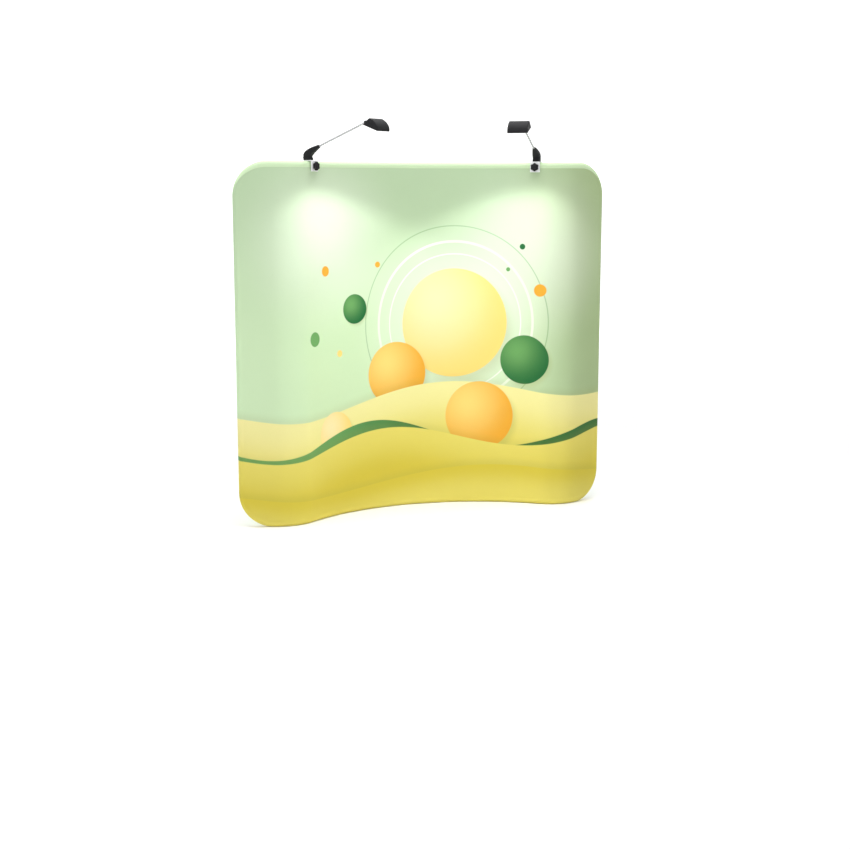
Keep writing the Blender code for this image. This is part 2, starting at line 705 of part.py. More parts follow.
def build_slider(metal):
    skin = COVER_OUTER + SEAT_GAP + ZIP_TAPE_THICKNESS
    crest = COVER_OUTER + SEAT_GAP + ZIP_COIL_THICKNESS
    foot, roof = skin + SEAT_GAP, crest + SEAT_GAP
    top = roof + SLIDER_PLATE
    inner = ZIP_COIL_HEIGHT / 2 + SEAT_GAP
    outer = inner + SLIDER_FLANGE
    section = [(foot, -outer), (top, -outer), (top, outer), (foot, outer),
               (foot, inner), (roof, inner), (roof, -inner), (foot, -inner)]
    slider = rounded(outline_plate("zip_slider", section, SLIDER_LENGTH / 2, SIDE_VIEW), SEAT_GAP, segments=1)
    bar = top + BAIL_RISE
    ear_start = PULL_EYE_WIDTH / 2 + SEAT_GAP
    for side in (-1, 1):
        low, high = sorted((side * ear_start, side * (ear_start + BAIL_EAR)))
        ear = block("ear", (low, top - SLIDER_PLATE / 2, -2 * BAIL_RADIUS),
                    (high, bar + 2 * BAIL_RADIUS, 2 * BAIL_RADIUS))
        slider = combined(slider, ear, "UNION")
    reach = ear_start + BAIL_EAR / 2
    bail = cylinder("bar", (-reach, bar, 0.0), (reach, bar, 0.0), BAIL_RADIUS, sides=8)
    slider = combined(slider, bail, "UNION")

    eye_bore = BAIL_RADIUS + SEAT_GAP
    eye_radius = eye_bore + PULL_EYE_WALL
    half = PULL_WIDTH / 2
    neck = PULL_EYE_WIDTH / 2
    shoulder = -eye_radius - PULL_WIDTH / 2
    end = -PULL_LENGTH + half
    tab_outline = [(-neck, -eye_bore - PULL_EYE_WALL / 2), (-neck, -eye_radius), (-half, shoulder)]
    tab_outline += [(-half, end)]
    tab_outline += [(-half * cos(step * pi / 6), end - half * sin(step * pi / 6)) for step in range(1, 6)]
    tab_outline += [(half, end), (half, shoulder), (neck, -eye_radius), (neck, -eye_bore - PULL_EYE_WALL / 2)]
    pull = outline_plate("zip_pull", tab_outline, PULL_THICKNESS / 2, FRONT_VIEW)
    eye = cylinder("eye", (-neck, 0.0, 0.0), (neck, 0.0, 0.0), eye_radius, sides=10)
    pull = combined(pull, eye, "UNION")
    pull = combined(pull, cylinder("bore", (-neck - OVERRUN, 0.0, 0.0), (neck + OVERRUN, 0.0, 0.0),
                                   eye_bore, sides=10))
    pull = combined(pull, cylinder("hole", (0.0, -OVERRUN, end), (0.0, OVERRUN, end), half / 2, sides=8))
    pull.data.transform(Matrix.Translation((0.0, bar, 0.0)))

    place = on_tape(-1, slider_station())
    for obj in (slider, pull):
        obj.data.transform(place)
    yield set_origin(slider, ZIP_AXIS), metal
    yield set_origin(pull, place @ Vector((0.0, bar, 0.0))), metal


# Lamps, in the clamp's own frame: x along the tube, y to the back, z up, with
# the origin on the tube's axis

def side_point(reach, rise):
    return (-reach, rise)


ARM_START = Vector(side_point(ELBOW_TIP_REACH, ELBOW_TIP_RISE))
HINGE = Vector(side_point(HINGE_REACH, HINGE_RISE))
ARM_RUN = (HINGE - ARM_START).normalized()
SADDLE = COVER_OUTER + SEAT_GAP
PLATE_TOP = SADDLE + BRACKET_PLATE
PAD_FACE = -SADDLE
PLATE_FACE = PAD_FACE - PAD_THICKNESS - PAD_TRAVEL
PLATE_FRONT = PLATE_FACE - BRACKET_PLATE
KNOB_BACK = PLATE_FRONT - KNOB_STANDOFF
ELBOW_BASE = PLATE_TOP + SEAT_GAP


def clamp_bracket():
    section = [(SADDLE, -BRACKET_DROP), (SADDLE + BRACKET_PLATE, -BRACKET_DROP),
               (SADDLE + BRACKET_PLATE, PLATE_TOP), (PLATE_FRONT, PLATE_TOP),
               (PLATE_FRONT, -BRACKET_DROP), (PLATE_FACE, -BRACKET_DROP), (PLATE_FACE, SADDLE),
               (SADDLE, SADDLE)]
    bracket = rounded(outline_plate("clamp_bracket", section, BRACKET_WIDTH / 2, SIDE_VIEW),
                      BRACKET_PLATE / 4, segments=1)
    hole = SCREW_RADIUS + SEAT_GAP
    bracket = combined(bracket, cylinder("hole", (0.0, PLATE_FRONT - OVERRUN, -SCREW_DROP),
                                         (0.0, PLATE_FACE + OVERRUN, -SCREW_DROP), hole))
    return combined(bracket, cylinder("hole", (0.0, STUD_SETBACK, SADDLE - OVERRUN),
                                      (0.0, STUD_SETBACK, PLATE_TOP + OVERRUN), STUD_RADIUS + SEAT_GAP))


def clamp_knob():
    count = 6 * KNOB_LOBES
    wave = KNOB_RADIUS * KNOB_WAVE_SHARE
    mean = KNOB_RADIUS - wave
    outline = []
    for i in range(count):
        angle = 2 * pi * i / count
        radius = mean + wave * cos(KNOB_LOBES * angle)
        outline.append((radius * sin(angle), radius * cos(angle)))
    star = outline_plate("clamp_knob", outline, KNOB_THICKNESS / 2, FRONT_VIEW)
    centre = KNOB_BACK - KNOB_BOSS_LENGTH - KNOB_THICKNESS / 2
    star.data.transform(Matrix.Translation((0.0, centre, -SCREW_DROP)))
    star = rounded(star, KNOB_THICKNESS / 6, segments=1, limit=radians(60))
    boss = cylinder("boss", (0.0, KNOB_BACK, -SCREW_DROP),
                    (0.0, KNOB_BACK - KNOB_BOSS_LENGTH - OVERRUN, -SCREW_DROP), KNOB_BOSS_RADIUS)
    knob = combined(star, boss, "UNION")
    bore = cylinder("bore", (0.0, KNOB_BACK + OVERRUN, -SCREW_DROP),
                    (0.0, KNOB_BACK - KNOB_BORE_DEPTH, -SCREW_DROP), SCREW_RADIUS + SEAT_GAP)
    return combined(knob, bore)


def clamp_screw():
    tip = PAD_FACE - PAD_THICKNESS + PAD_SOCKET - SEAT_GAP
    return cylinder("clamp_screw", (0.0, tip, -SCREW_DROP),
                    (0.0, KNOB_BACK - KNOB_BORE_DEPTH + SEAT_GAP, -SCREW_DROP), SCREW_RADIUS)


def clamp_pad():
    edge = PAD_THICKNESS / 4
    profile = [(0.0, 0.0), (PAD_RADIUS - edge, 0.0), (PAD_RADIUS, edge), (PAD_RADIUS, PAD_THICKNESS),
               (SCREW_RADIUS + SEAT_GAP, PAD_THICKNESS),
               (SCREW_RADIUS + SEAT_GAP, PAD_THICKNESS - PAD_SOCKET), (0.0, PAD_THICKNESS - PAD_SOCKET)]
    return turned("clamp_pad", profile, (0.0, PAD_FACE, -SCREW_DROP), (0.0, -1.0, 0.0))


def swivel_stud():
    return cylinder("swivel_stud", (0.0, STUD_SETBACK, SADDLE),
                    (0.0, STUD_SETBACK, PLATE_TOP + STUD_REACH), STUD_RADIUS)


def bezier(start, bend, end, share):
    return start * (1 - share) ** 2 + bend * 2 * share * (1 - share) + end * share ** 2


def elbow_housing():
    across = Vector((-ARM_RUN.y, ARM_RUN.x)) * ELBOW_TIP_DEPTH / 2
    if across.y < 0:
        across = -across
    knee = Vector((ELBOW_BACK, ELBOW_KNEE_RISE))
    crown = Vector((ELBOW_CROWN_SETBACK, ELBOW_CROWN_RISE))
    throat = Vector(side_point(ELBOW_THROAT_REACH, ELBOW_THROAT_RISE))
    outline = [Vector((ELBOW_BACK, ELBOW_BASE))]
    outline += [bezier(knee, crown, ARM_START + across, i / 6) for i in range(7)]
    outline += [ARM_START - across]
    outline += [bezier(ARM_START - across, throat + across, throat, i / 4) for i in range(1, 5)]
    outline += [Vector((-ELBOW_FRONT, ELBOW_BASE))]
    elbow = outline_plate("lamp_elbow", outline, ELBOW_WIDTH / 2, SIDE_VIEW)
    taper = ELBOW_TIP_WIDTH / ELBOW_WIDTH
    for vertex in elbow.data.vertices:
        share = max(0.0, min(1.0, (-vertex.co.y - ELBOW_FRONT) / (ELBOW_TIP_REACH - ELBOW_FRONT)))
        vertex.co.x *= 1 - (1 - taper) * share
    elbow = rounded(elbow, ELBOW_EDGE, segments=2, limit=radians(50))
    socket_end = ARM_START - ARM_RUN * ARM_SOCKET
    mouth = ARM_START + ARM_RUN * OVERRUN
    elbow = combined(elbow, cylinder("socket", (0.0, *socket_end), (0.0, *mouth), ARM_RADIUS + SEAT_GAP,
                                     sides=10))
    elbow = combined(elbow, cylinder("bore", (0.0, STUD_SETBACK, ELBOW_BASE - OVERRUN),
                                     (0.0, STUD_SETBACK, PLATE_TOP + STUD_REACH + SEAT_GAP),
                                     STUD_RADIUS + SEAT_GAP))
    gland_level = ELBOW_BASE + GLAND_RISE
    return combined(elbow, cylinder("inlet", (0.0, ELBOW_BACK + OVERRUN, gland_level),
                                    (0.0, ELBOW_BACK - GLAND_LENGTH / 2, gland_level), GLAND_BORE, sides=8))


def cable_gland():
    flange = GLAND_LENGTH / 3
    profile = [(GLAND_BORE, 0.0), (GLAND_RADIUS, 0.0), (GLAND_RADIUS, flange),
               (GLAND_RADIUS * GLAND_SHOULDER_SHARE, flange),
               (GLAND_RADIUS * GLAND_MOUTH_SHARE, GLAND_LENGTH), (GLAND_BORE, GLAND_LENGTH),
               (GLAND_BORE, 0.0)]
    seat = (0.0, ELBOW_BACK + SEAT_GAP, ELBOW_BASE + GLAND_RISE)
    return turned("cable_gland", profile, seat, (0.0, 1.0, 0.0))


def lamp_arm():
    start = ARM_START - ARM_RUN * (ARM_SOCKET - SEAT_GAP)
    arm = cylinder("lamp_arm", (0.0, *start), (0.0, *HINGE), ARM_RADIUS, sides=10)
    half = KNUCKLE_WIDTH / 2
    arm = combined(arm, cylinder("knuckle", (-half, *HINGE), (half, *HINGE), KNUCKLE_RADIUS), "UNION")
    return combined(arm, cylinder("eye", (-half - OVERRUN, *HINGE), (half + OVERRUN, *HINGE),
                                  PIN_RADIUS + SEAT_GAP, sides=10))


# Lamp head: s runs out from the hinge along the light's face, h up from it

FACE = -HEAD_DROP
HEAD_PLACE = Matrix.Translation((0.0, *HINGE)) @ Matrix.Rotation(HEAD_TILT, 4, "X")


def head_section():
    """Side view: the foot, the brow and an elliptic crown down to the lip."""
    brow = HEAD_SETBACK + HEAD_BROW
    depth = HEAD_LENGTH - HEAD_BROW
    points = [(HEAD_SETBACK, FACE)]
    for i in range(HEAD_CROWN_FACETS + 1):
        angle = (pi / 2) * (1 - i / HEAD_CROWN_FACETS)
        points.append((brow + depth * cos(angle), FACE + HEAD_HEIGHT * sin(angle)))
    return points


def rear_face(h, inward=0.0):
    """Distance s of the sloping rear face at height h, moved in by a thickness."""
    slope = HEAD_BROW / HEAD_HEIGHT
    return HEAD_SETBACK + (h - FACE) * slope + inward * (1 + slope ** 2) ** 0.5


def front_face(h, inward=0.0):
    """Distance s of the elliptic front at height h, less a thickness."""
    share = (h - FACE) / HEAD_HEIGHT
    crown = (HEAD_LENGTH - HEAD_BROW) * (1 - share ** 2) ** 0.5
    return HEAD_SETBACK + HEAD_BROW + crown - inward * (1 + share)


def head_housing():
    section = [(-s, h) for s, h in head_section()]
    shell = outline_plate("head_housing", section, HEAD_WIDTH / 2, SIDE_VIEW)
    bm = bmesh.new()
    bm.from_mesh(shell.data)
    bm.normal_update()
    downward = cos(radians(5))
    underside = [face for face in bm.faces if face.normal.z < -downward]
    bmesh.ops.delete(bm, geom=underside, context="FACES")
    bm.to_mesh(shell.data)
    bm.free()
    shell = rounded(shell, HEAD_EDGE, segments=2, limit=radians(80))
    solidify = shell.modifiers.new("wall", "SOLIDIFY")
    solidify.thickness = HEAD_WALL
    solidify.offset = -1.0
    solidify.use_even_offset = True
    shell = baked(shell)
    ear_inner = KNUCKLE_WIDTH / 2 + SEAT_GAP
    middle = HEAD_WALL / 2
    ear_outline = [(-rear_face(-EAR_RADIUS, middle), -EAR_RADIUS)]
    ear_outline += [(EAR_RADIUS * sin(i * pi / 6), -EAR_RADIUS * cos(i * pi / 6)) for i in range(7)]
    ear_outline += [(-rear_face(EAR_RADIUS, middle), EAR_RADIUS)]
    for side in (-1, 1):
        ear = outline_plate("ear", ear_outline, EAR_WIDTH / 2, SIDE_VIEW)
        ear.data.transform(Matrix.Translation((side * (ear_inner + EAR_WIDTH / 2), 0.0, 0.0)))
        shell = combined(shell, ear, "UNION")
    reach = ear_inner + EAR_WIDTH + OVERRUN
    eye = cylinder("eye", (-reach, 0.0, 0.0), (reach, 0.0, 0.0), PIN_RADIUS + SEAT_GAP, sides=10)
    return combined(shell, eye)


def head_lens():
    low = FACE + LENS_RECESS
    high = low + LENS_THICKNESS
    side = HEAD_WIDTH / 2 - HEAD_WALL - LENS_MARGIN
    inset = HEAD_WALL + LENS_MARGIN
    lens = block("head_lens", (-side, -front_face(high, inset), low), (side, -rear_face(high, inset), high))
    return rounded(lens, LENS_EDGE, segments=1)


def led_tray():
    low = FACE + LENS_RECESS + LENS_THICKNESS + SEAT_GAP
    high = low + TRAY_DEPTH
    side = HEAD_WIDTH / 2 - HEAD_WALL - TRAY_MARGIN
    inset = HEAD_WALL + TRAY_MARGIN
    front, rear = -front_face(low, inset), -rear_face(low, inset)
    tray = block("led_tray", (-side, front, low), (side, rear, high))
    hollow = block("hollow", (-side + TRAY_WALL, front + TRAY_WALL, low - OVERRUN),
                   (side - TRAY_WALL, rear - TRAY_WALL, high - TRAY_WALL))
    return combined(tray, hollow)


def head_pin():
    reach = KNUCKLE_WIDTH / 2 + SEAT_GAP + EAR_WIDTH
    return cylinder("head_pin", (-reach, 0.0, 0.0), (reach, 0.0, 0.0), PIN_RADIUS, sides=10)


def lamp_pieces(white, black, chrome, rubber, glass, board):
    """Each lamp piece with its joint's origin in the clamp's frame."""
    knob_axis = Vector((0.0, KNOB_BACK, -SCREW_DROP))
    swivel = Vector((0.0, STUD_SETBACK, ELBOW_BASE))
    hinge = Vector((0.0, *HINGE))
    yield clamp_bracket(), Vector((0.0, 0.0, 0.0)), white
    yield clamp_knob(), knob_axis, black
    yield clamp_screw(), knob_axis, chrome
    yield clamp_pad(), knob_axis, rubber
    yield swivel_stud(), swivel, chrome
    yield elbow_housing(), swivel, black
    yield cable_gland(), swivel, black
    yield lamp_arm(), swivel, chrome
    for build, material in ((head_housing, black), (head_lens, glass), (led_tray, board), (head_pin, chrome)):
        piece = build()
        piece.data.transform(HEAD_PLACE)
        yield piece, hinge, material


def build_lamps(*materials):
    """Two lamps alike, each under an empty on the tube's axis at its clamp."""
    frames = {}
    for side, hand in ((-1.0, "left"), (1.0, "right")):
        frame = bpy.data.objects.new("lamp_frame_" + hand, None)
        parts.objects.link(frame)
        frame.location = wrapped(Vector((side * LAMP_OFFSET, 0.0, TOP_AXIS)))
        frame.rotation_euler.z = turn_at(side * LAMP_OFFSET)
        frames[hand] = frame
    for piece, origin, material in lamp_pieces(*materials):
        kind = piece.name
        set_origin(piece, origin)
        shade(piece)
        piece.data.materials.append(material)
        piece.name = kind + "_left"
        piece.parent = frames["left"]
        copy = bpy.data.objects.new(kind + "_right", piece.data)
        parts.objects.link(copy)
        copy.location = origin
        copy.parent = frames["right"]


def build_display():
    aluminium = finish("aluminium_tube", (0.62, 0.63, 0.64), 0.35, metallic=1.0)
    nylon = finish("black_nylon", (0.03, 0.03, 0.032), 0.55)
    steel = finish("spring_steel", (0.55, 0.55, 0.56), 0.3, metallic=1.0)
    fabric = finish("printed_fabric", (0.62, 0.78, 0.52), 0.85)
    tape = finish("zip_tape_white", (0.82, 0.83, 0.8), 0.8)
    zip_metal = finish("zip_metal", (0.5, 0.5, 0.5), 0.35, metallic=1.0)
    white = finish("white_powder_coat", (0.86, 0.86, 0.86), 0.35)
    black = finish("black_moulding", (0.035, 0.035, 0.037), 0.45)
    chrome = finish("plated_steel", (0.72, 0.72, 0.73), 0.2, metallic=1.0)
    rubber = finish("grey_rubber", (0.12, 0.12, 0.12), 0.8)
    glass = finish("frosted_lens", (0.9, 0.92, 0.93), 0.4, alpha=0.7)
    board = finish("led_tray_white", (0.8, 0.82, 0.84), 0.4)
    groups = (build_frame(aluminium, nylon), build_buttons(steel), build_cover(fabric),
              build_zip(tape), build_slider(zip_metal))
    for group in groups:
        for obj, material in group:
            obj.data.materials.append(material)
            shade(obj)
    build_lamps(white, black, chrome, rubber, glass, board)


build_display()
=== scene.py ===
import json
from math import cos, pi, radians, sin, tan

import bmesh
import bpy
import numpy as np
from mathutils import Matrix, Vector


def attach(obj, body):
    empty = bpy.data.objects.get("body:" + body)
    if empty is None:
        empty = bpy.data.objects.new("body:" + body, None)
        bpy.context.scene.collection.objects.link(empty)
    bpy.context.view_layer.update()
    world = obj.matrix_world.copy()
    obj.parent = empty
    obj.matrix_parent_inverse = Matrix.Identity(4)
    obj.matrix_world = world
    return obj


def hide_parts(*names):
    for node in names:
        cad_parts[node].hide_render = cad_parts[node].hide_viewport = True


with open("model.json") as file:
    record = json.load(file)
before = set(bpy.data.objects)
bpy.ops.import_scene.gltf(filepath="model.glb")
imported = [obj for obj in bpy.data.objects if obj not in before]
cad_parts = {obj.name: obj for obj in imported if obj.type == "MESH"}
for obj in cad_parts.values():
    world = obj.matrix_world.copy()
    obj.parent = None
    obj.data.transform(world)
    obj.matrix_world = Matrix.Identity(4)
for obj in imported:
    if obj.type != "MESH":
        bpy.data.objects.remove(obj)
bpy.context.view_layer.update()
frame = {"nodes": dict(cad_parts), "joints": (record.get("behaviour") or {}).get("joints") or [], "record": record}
print("frame loaded:", len(frame["nodes"]), "nodes")


# small tools

def colour(red, green, blue):
    # a screen colour of 0 to 255 as the linear values that a shader takes:
    # c / 12.92 near black, ((c + 0.055) / 1.055) ^ 2.4 above
    share = np.array([red, green, blue]) / 255
    linear = np.where(share < 0.04045, share / 12.92, ((share + 0.055) / 1.055) ** 2.4)
    return (*[float(c) for c in linear], 1.0)


def joined(*columns):
    # coordinates, spread to one shape, as points
    return np.stack(np.broadcast_arrays(*columns), axis=-1)


def unit(vectors):
    # each vector over its own length
    return vectors / np.linalg.norm(vectors, axis=-1)[..., None]


def besides(run):
    # flat directions (a, b) turned by a quarter, to (b, -a)
    return joined(run[..., 1], -run[..., 0])


def runLength(x, z):
    # the distance run at each of a line's flat points, from 0
    return np.concatenate([[0.0], np.cumsum(np.hypot(np.diff(x), np.diff(z)))])


def smooth(values, low, high):
    # 3 q^2 - 2 q^3, which is 0 up to low and 1 from high on
    q = np.clip((values - low) / (high - low), 0, 1)
    return q * q * (3 - 2 * q)


def squared(values, power):
    # |v| to a power below 1 with v's sign, which fills a circle out to a square
    return np.sign(values) * np.abs(values) ** power


def wholeTurn(steps):
    return np.linspace(0, 2 * pi, steps, endpoint=False)


def rings(centre, across, over, radius, sides):
    # circles round each centre, c + r (cos a across + sin a over)
    turn = wholeTurn(sides)[:, None]
    circle = np.cos(turn) * across[..., None, :] + np.sin(turn) * over[..., None, :]
    return centre[..., None, :] + radius * circle


def gridFaces(rows, columns, closed=False, first=0):
    # each grid point (i, j) joins (i + 1, j), (i + 1, j + 1) and (i, j + 1);
    # a closed grid also joins its last column to its first
    i, j = np.meshgrid(np.arange(rows - 1), np.arange(columns if closed else columns - 1), indexing="ij")
    k = (j + 1) % columns
    corners = [i * columns + j, (i + 1) * columns + j, (i + 1) * columns + k, i * columns + k]
    return np.stack(corners, axis=-1).reshape(-1, 4) + first


def addObject(name, data):
    obj = bpy.data.objects.new(name, data)
    bpy.context.scene.collection.objects.link(obj)
    return obj


def arrayMesh(name, grids, uvs=None, merge=2e-6):
    # one mesh of several point grids, each (array of (rows, columns, 3), closed);
    # doubles are merged, faces without area go, and the faces turn outwards
    points, faces, first = [], [], 0
    for grid, closed in grids:
        points.append(grid.reshape(-1, 3))
        faces.append(gridFaces(*grid.shape[:2], closed, first))
        first += len(points[-1])
    points, faces = np.concatenate(points), np.concatenate(faces)
    mesh = bpy.data.meshes.new(name)
    mesh.from_pydata(points.tolist(), [], faces.tolist())
    if uvs is not None:
        layer = mesh.uv_layers.new(name="cloth")
        flat = np.concatenate([uv.reshape(-1, 2) for uv in uvs])
        layer.data.foreach_set("uv", flat[faces.ravel()].astype(np.float32).ravel())
    work = bmesh.new()
    work.from_mesh(mesh)
    bmesh.ops.remove_doubles(work, verts=work.verts, dist=merge)
    bmesh.ops.dissolve_degenerate(work, edges=work.edges, dist=merge / 4)
    bmesh.ops.recalc_face_normals(work, faces=work.faces)
    work.to_mesh(mesh)
    work.free()
    mesh.shade_smooth()
    return addObject(name, mesh)


def barGrids(ring):
    # a section of four corners carried along a bar, and a face over each end
    ends = [ring[i][[0, 1, 3, 2]].reshape(2, 2, 3) for i in (0, -1)]
    return [(ring, True), (ends[0], False), (ends[1], False)]


def tubeGrid(path, radius, sides, up):
    # circles carried along the path, square to its run by central differences,
    # one side by the run's cross product with up
    run = unit(np.gradient(path, axis=0))
    across = unit(np.cross(run, up))
    return rings(path, across, np.cross(across, run), radius, sides)


def sharpened(obj, angle=35.0):
    obj.data.set_sharp_from_angle(angle=radians(angle))
    return obj


def addModifier(obj, kind, **settings):
    made = obj.modifiers.new(kind.lower(), kind)
    for key, value in settings.items():
        setattr(made, key, value)


def addNode(tree, kind, inputs=None, **settings):
    # one shader node by its kind: settings are its options, inputs its sockets by
    # name or number, each a value or another node's output
    made = tree.nodes.new("ShaderNode" + kind)
    for key, value in settings.items():
        setattr(made, key, value)
    for key, value in (inputs or {}).items():
        if isinstance(value, bpy.types.NodeSocket):
            tree.links.new(value, made.inputs[key])
        else:
            made.inputs[key].default_value = value
    return made


def newMaterial(name, base, roughness, metallic=0.0, **sockets):
    # a Principled material whose plain values sit on the shader's own sockets
    made = bpy.data.materials.new(name)
    made.use_nodes = True
    shader = made.node_tree.nodes["Principled BSDF"]
    shader.inputs["Base Color"].default_value = base
    shader.inputs["Roughness"].default_value = roughness
    shader.inputs["Metallic"].default_value = metallic
    for key, value in sockets.items():
        shader.inputs[key].default_value = value
    return made, made.node_tree, shader


def calc(tree, operation, first, second=0.0, third=0.0):
    return addNode(tree, "Math", {0: first, 1: second, 2: third}, operation=operation).outputs[0]


def mixed(tree, under, over, mask, share=1.0):
    # under where the mask is 0, over at its share where the mask is 1
    if share < 1.0:
        mask = calc(tree, "MULTIPLY", mask, share)
    return addNode(tree, "Mix", {"Factor": mask, 6: under, 7: over}, data_type="RGBA").outputs[2]


def ramp(tree, value, low, high):
    # 0 below low, 1 above high, smooth between
    return addNode(tree, "MapRange", {"Value": value, "From Min": low, "From Max": high},
                   interpolation_type="SMOOTHSTEP").outputs[0]


def between(tree, value, low, high):
    # low where the value is 0, high where it is 1
    return addNode(tree, "MapRange", {"Value": value, "To Min": low, "To Max": high}).outputs[0]


def noise(tree, place, scale, detail):
    return addNode(tree, "TexNoise", {"Vector": place, "Scale": scale, "Detail": detail}).outputs[0]


def waves(tree, place, scale, direction, distortion=0.0):
    return addNode(tree, "TexWave", {"Vector": place, "Scale": scale, "Distortion": distortion},
                   bands_direction=direction).outputs["Fac"]


def objectPlace(tree):
    return addNode(tree, "TexCoord").outputs["Object"]


def setBump(tree, shader, height, strength, distance=0.0002):
    bump = addNode(tree, "Bump", {"Height": height, "Strength": strength, "Distance": distance})
    tree.links.new(bump.outputs[0], shader.inputs["Normal"])


def setRoughness(tree, shader, value, low, high):
    tree.links.new(between(tree, value, low, high), shader.inputs["Roughness"])


def setTone(tree, shader, base, tone):
    # the base colour times a tone near 1
    scaled = addNode(tree, "VectorMath", {0: base, 1: tone}, operation="MULTIPLY")
    tree.links.new(scaled.outputs[0], shader.inputs["Base Color"])


# the curve that the frame follows in plan, and its outline

plan = {
    "middleRadius": 0.932,      # concave towards the viewer
    "middleAngle": radians(38.8),
    "returnRadius": 0.175,      # bends the other way
    "returnAngle": radians(60.0),
    "wingStraight": 0.014,
    "cornerRadius": 0.139,
    "height": 1.670,
    "crestHalf": 0.017575,      # cloth surface from the tube's axis in the solids
    "flatDepth": 0.0005,
    "middleChord": 0.0004,      # how far the cloth moves to lie evenly on the solids' chords
    "returnChord": 0.00075,
    "returnSwell": 0.00045,
    "chordRun": (0.585, 0.665, 0.80, 0.85),    # where that changes, along the curve
    "swellRun": (0.61, 0.65, 0.84, 0.90),
}
middleEnd = plan["middleRadius"] * plan["middleAngle"]
wingStart = middleEnd + plan["returnRadius"] * plan["returnAngle"]
straightHalf = wingStart + plan["wingStraight"]
bottomAxis = plan["crestHalf"] - plan["flatDepth"]
topAxis = plan["height"] - plan["crestHalf"]


def onPlan(along, back, height):
    # carries flat points to the curve. heading h = s / R on the middle arc, then
    # hm - (s - sm) / r, then constant; the point is the integral of (cos h, -sin h)
    # and the back normal is (sin h, cos h); the left half is the mirror image
    along, back, height = np.broadcast_arrays(along, back, height)
    side, s = np.where(along < 0, -1.0, 1.0), np.abs(along)
    big, small, hm = plan["middleRadius"], plan["returnRadius"], plan["middleAngle"]
    hw = hm - plan["returnAngle"]
    inMiddle, inReturn = s <= middleEnd, s <= wingStart
    heading = np.where(inMiddle, s / big, np.where(inReturn, hm - (s - middleEnd) / small, hw))
    midX, midY = big * sin(hm), big * (cos(hm) - 1)
    bendX = midX + small * (sin(hm) - np.sin(heading))
    bendY = midY + small * (cos(hm) - np.cos(heading))
    rest = np.where(inReturn, 0.0, s - wingStart)
    x = np.where(inMiddle, big * np.sin(heading), bendX + rest * cos(hw))
    y = np.where(inMiddle, big * (np.cos(heading) - 1), bendY - rest * sin(hw))
    return joined(side * (x + np.sin(heading) * back), y + np.cos(heading) * back, height)


def chordShift(along):
    # the solids run along chords of the curve, so the cloth moves by half their
    # sagitta, to the front on the middle arc and to the back on the return bends
    s, middle, bend = np.abs(along), plan["middleChord"], plan["returnChord"]
    a, b, c, d = plan["chordRun"]
    return -middle + (middle + bend) * smooth(s, a, b) - bend * smooth(s, c, d)


def standing(along):
    # the cloth's distance from the tube's axis, a little more on the return bends,
    # where the chords are long
    s = np.abs(along)
    a, b, c, d = plan["swellRun"]
    return cover["half"] + plan["returnSwell"] * (smooth(s, a, b) - smooth(s, c, d))


# fabric cover: two sheets sewn together round the edge

cover = {
    "half": 0.0171,             # cloth surface from the tube's axis
    "wall": 0.0005,
    "seamAngle": radians(140),  # where the sheets meet, from the front round the tube
    "seamGap": radians(1.5),
    "columns": 180,
    "cornerColumns": 20,
    "rows": 150,
    "evenRows": 0.15,           # share of even steps in the rows' spacing
    "turns": 20,                # grid steps round the tube
    "pull": 0.0035,             # how far the stretch draws the cloth off the curve
    "bendPull": 1.2,            # that at a return bend, over the middle's
    "hollow": 0.0018,           # how far it dips beside the tubes
    "hollowReach": 0.014,
    "poleHalf": 0.010,          # the back sheet lies on the centre pole
    "poleReach": 0.15,
    "fold": 0.00035,            # faint folds that fan out of each corner
    "foldCount": 26,
    "foldMiddle": 0.05,         # from the edge
    "foldSpread": 0.035,
    "foldReach": 0.12,
    "foldStart": 0.05,
    "foldEdge": (0.001, 0.02),
    "pucker": 0.00022,          # small gathers beside the seam
    "puckerPitch": 0.011,
    "puckerShare": 0.28,
    "lowest": 0.0006,
    "mapSize": 2.4,             # metres across its map
}


def coverOutline():
    # the tube's centreline as columns of (x, low z, high z): straight edges and
    # a quarter circle z = r - sqrt(r^2 - d^2) at each corner, with columns at
    # equal angles there
    r, quarter = plan["cornerRadius"], cover["cornerColumns"]
    arc = straightHalf + r * np.sin(np.linspace(0, pi / 2, quarter + 1))[1:]
    middle = np.linspace(-straightHalf, straightHalf, cover["columns"] - 2 * quarter)
    x = np.concatenate([-arc[::-1], middle, arc])
    into = np.maximum(np.abs(x) - straightHalf, 0.0)
    drop = r - np.sqrt(np.maximum(r * r - into * into, 0.0))
    return x, bottomAxis + drop, topAxis - drop


def rowShares():
    # rows closer together near the tubes: e t + (1 - e) (1 - cos pi t) / 2
    even, share = np.linspace(0, 1, cover["rows"]), cover["evenRows"]
    return (1 - share) * (1 - np.cos(pi * even)) / 2 + share * even


def coverLoop():
    # the outline as one closed run of (x, z) with its outward normal, from the
    # same columns and rows as the flat face
    x, low, high = coverOutline()
    t, r = rowShares()[1:-1], plan["cornerRadius"]
    up, down = low[-1] + (high[-1] - low[-1]) * t, high[0] + (low[0] - high[0]) * t
    loopX = np.concatenate([x, np.full(len(t), x[-1]), x[::-1], np.full(len(t), x[0])])
    loopZ = np.concatenate([low, up, high[::-1], down])
    fromX = loopX - np.clip(loopX, -straightHalf, straightHalf)
    return loopX, loopZ, unit(joined(fromX, loopZ - np.clip(loopZ, bottomAxis + r, topAxis - r)))


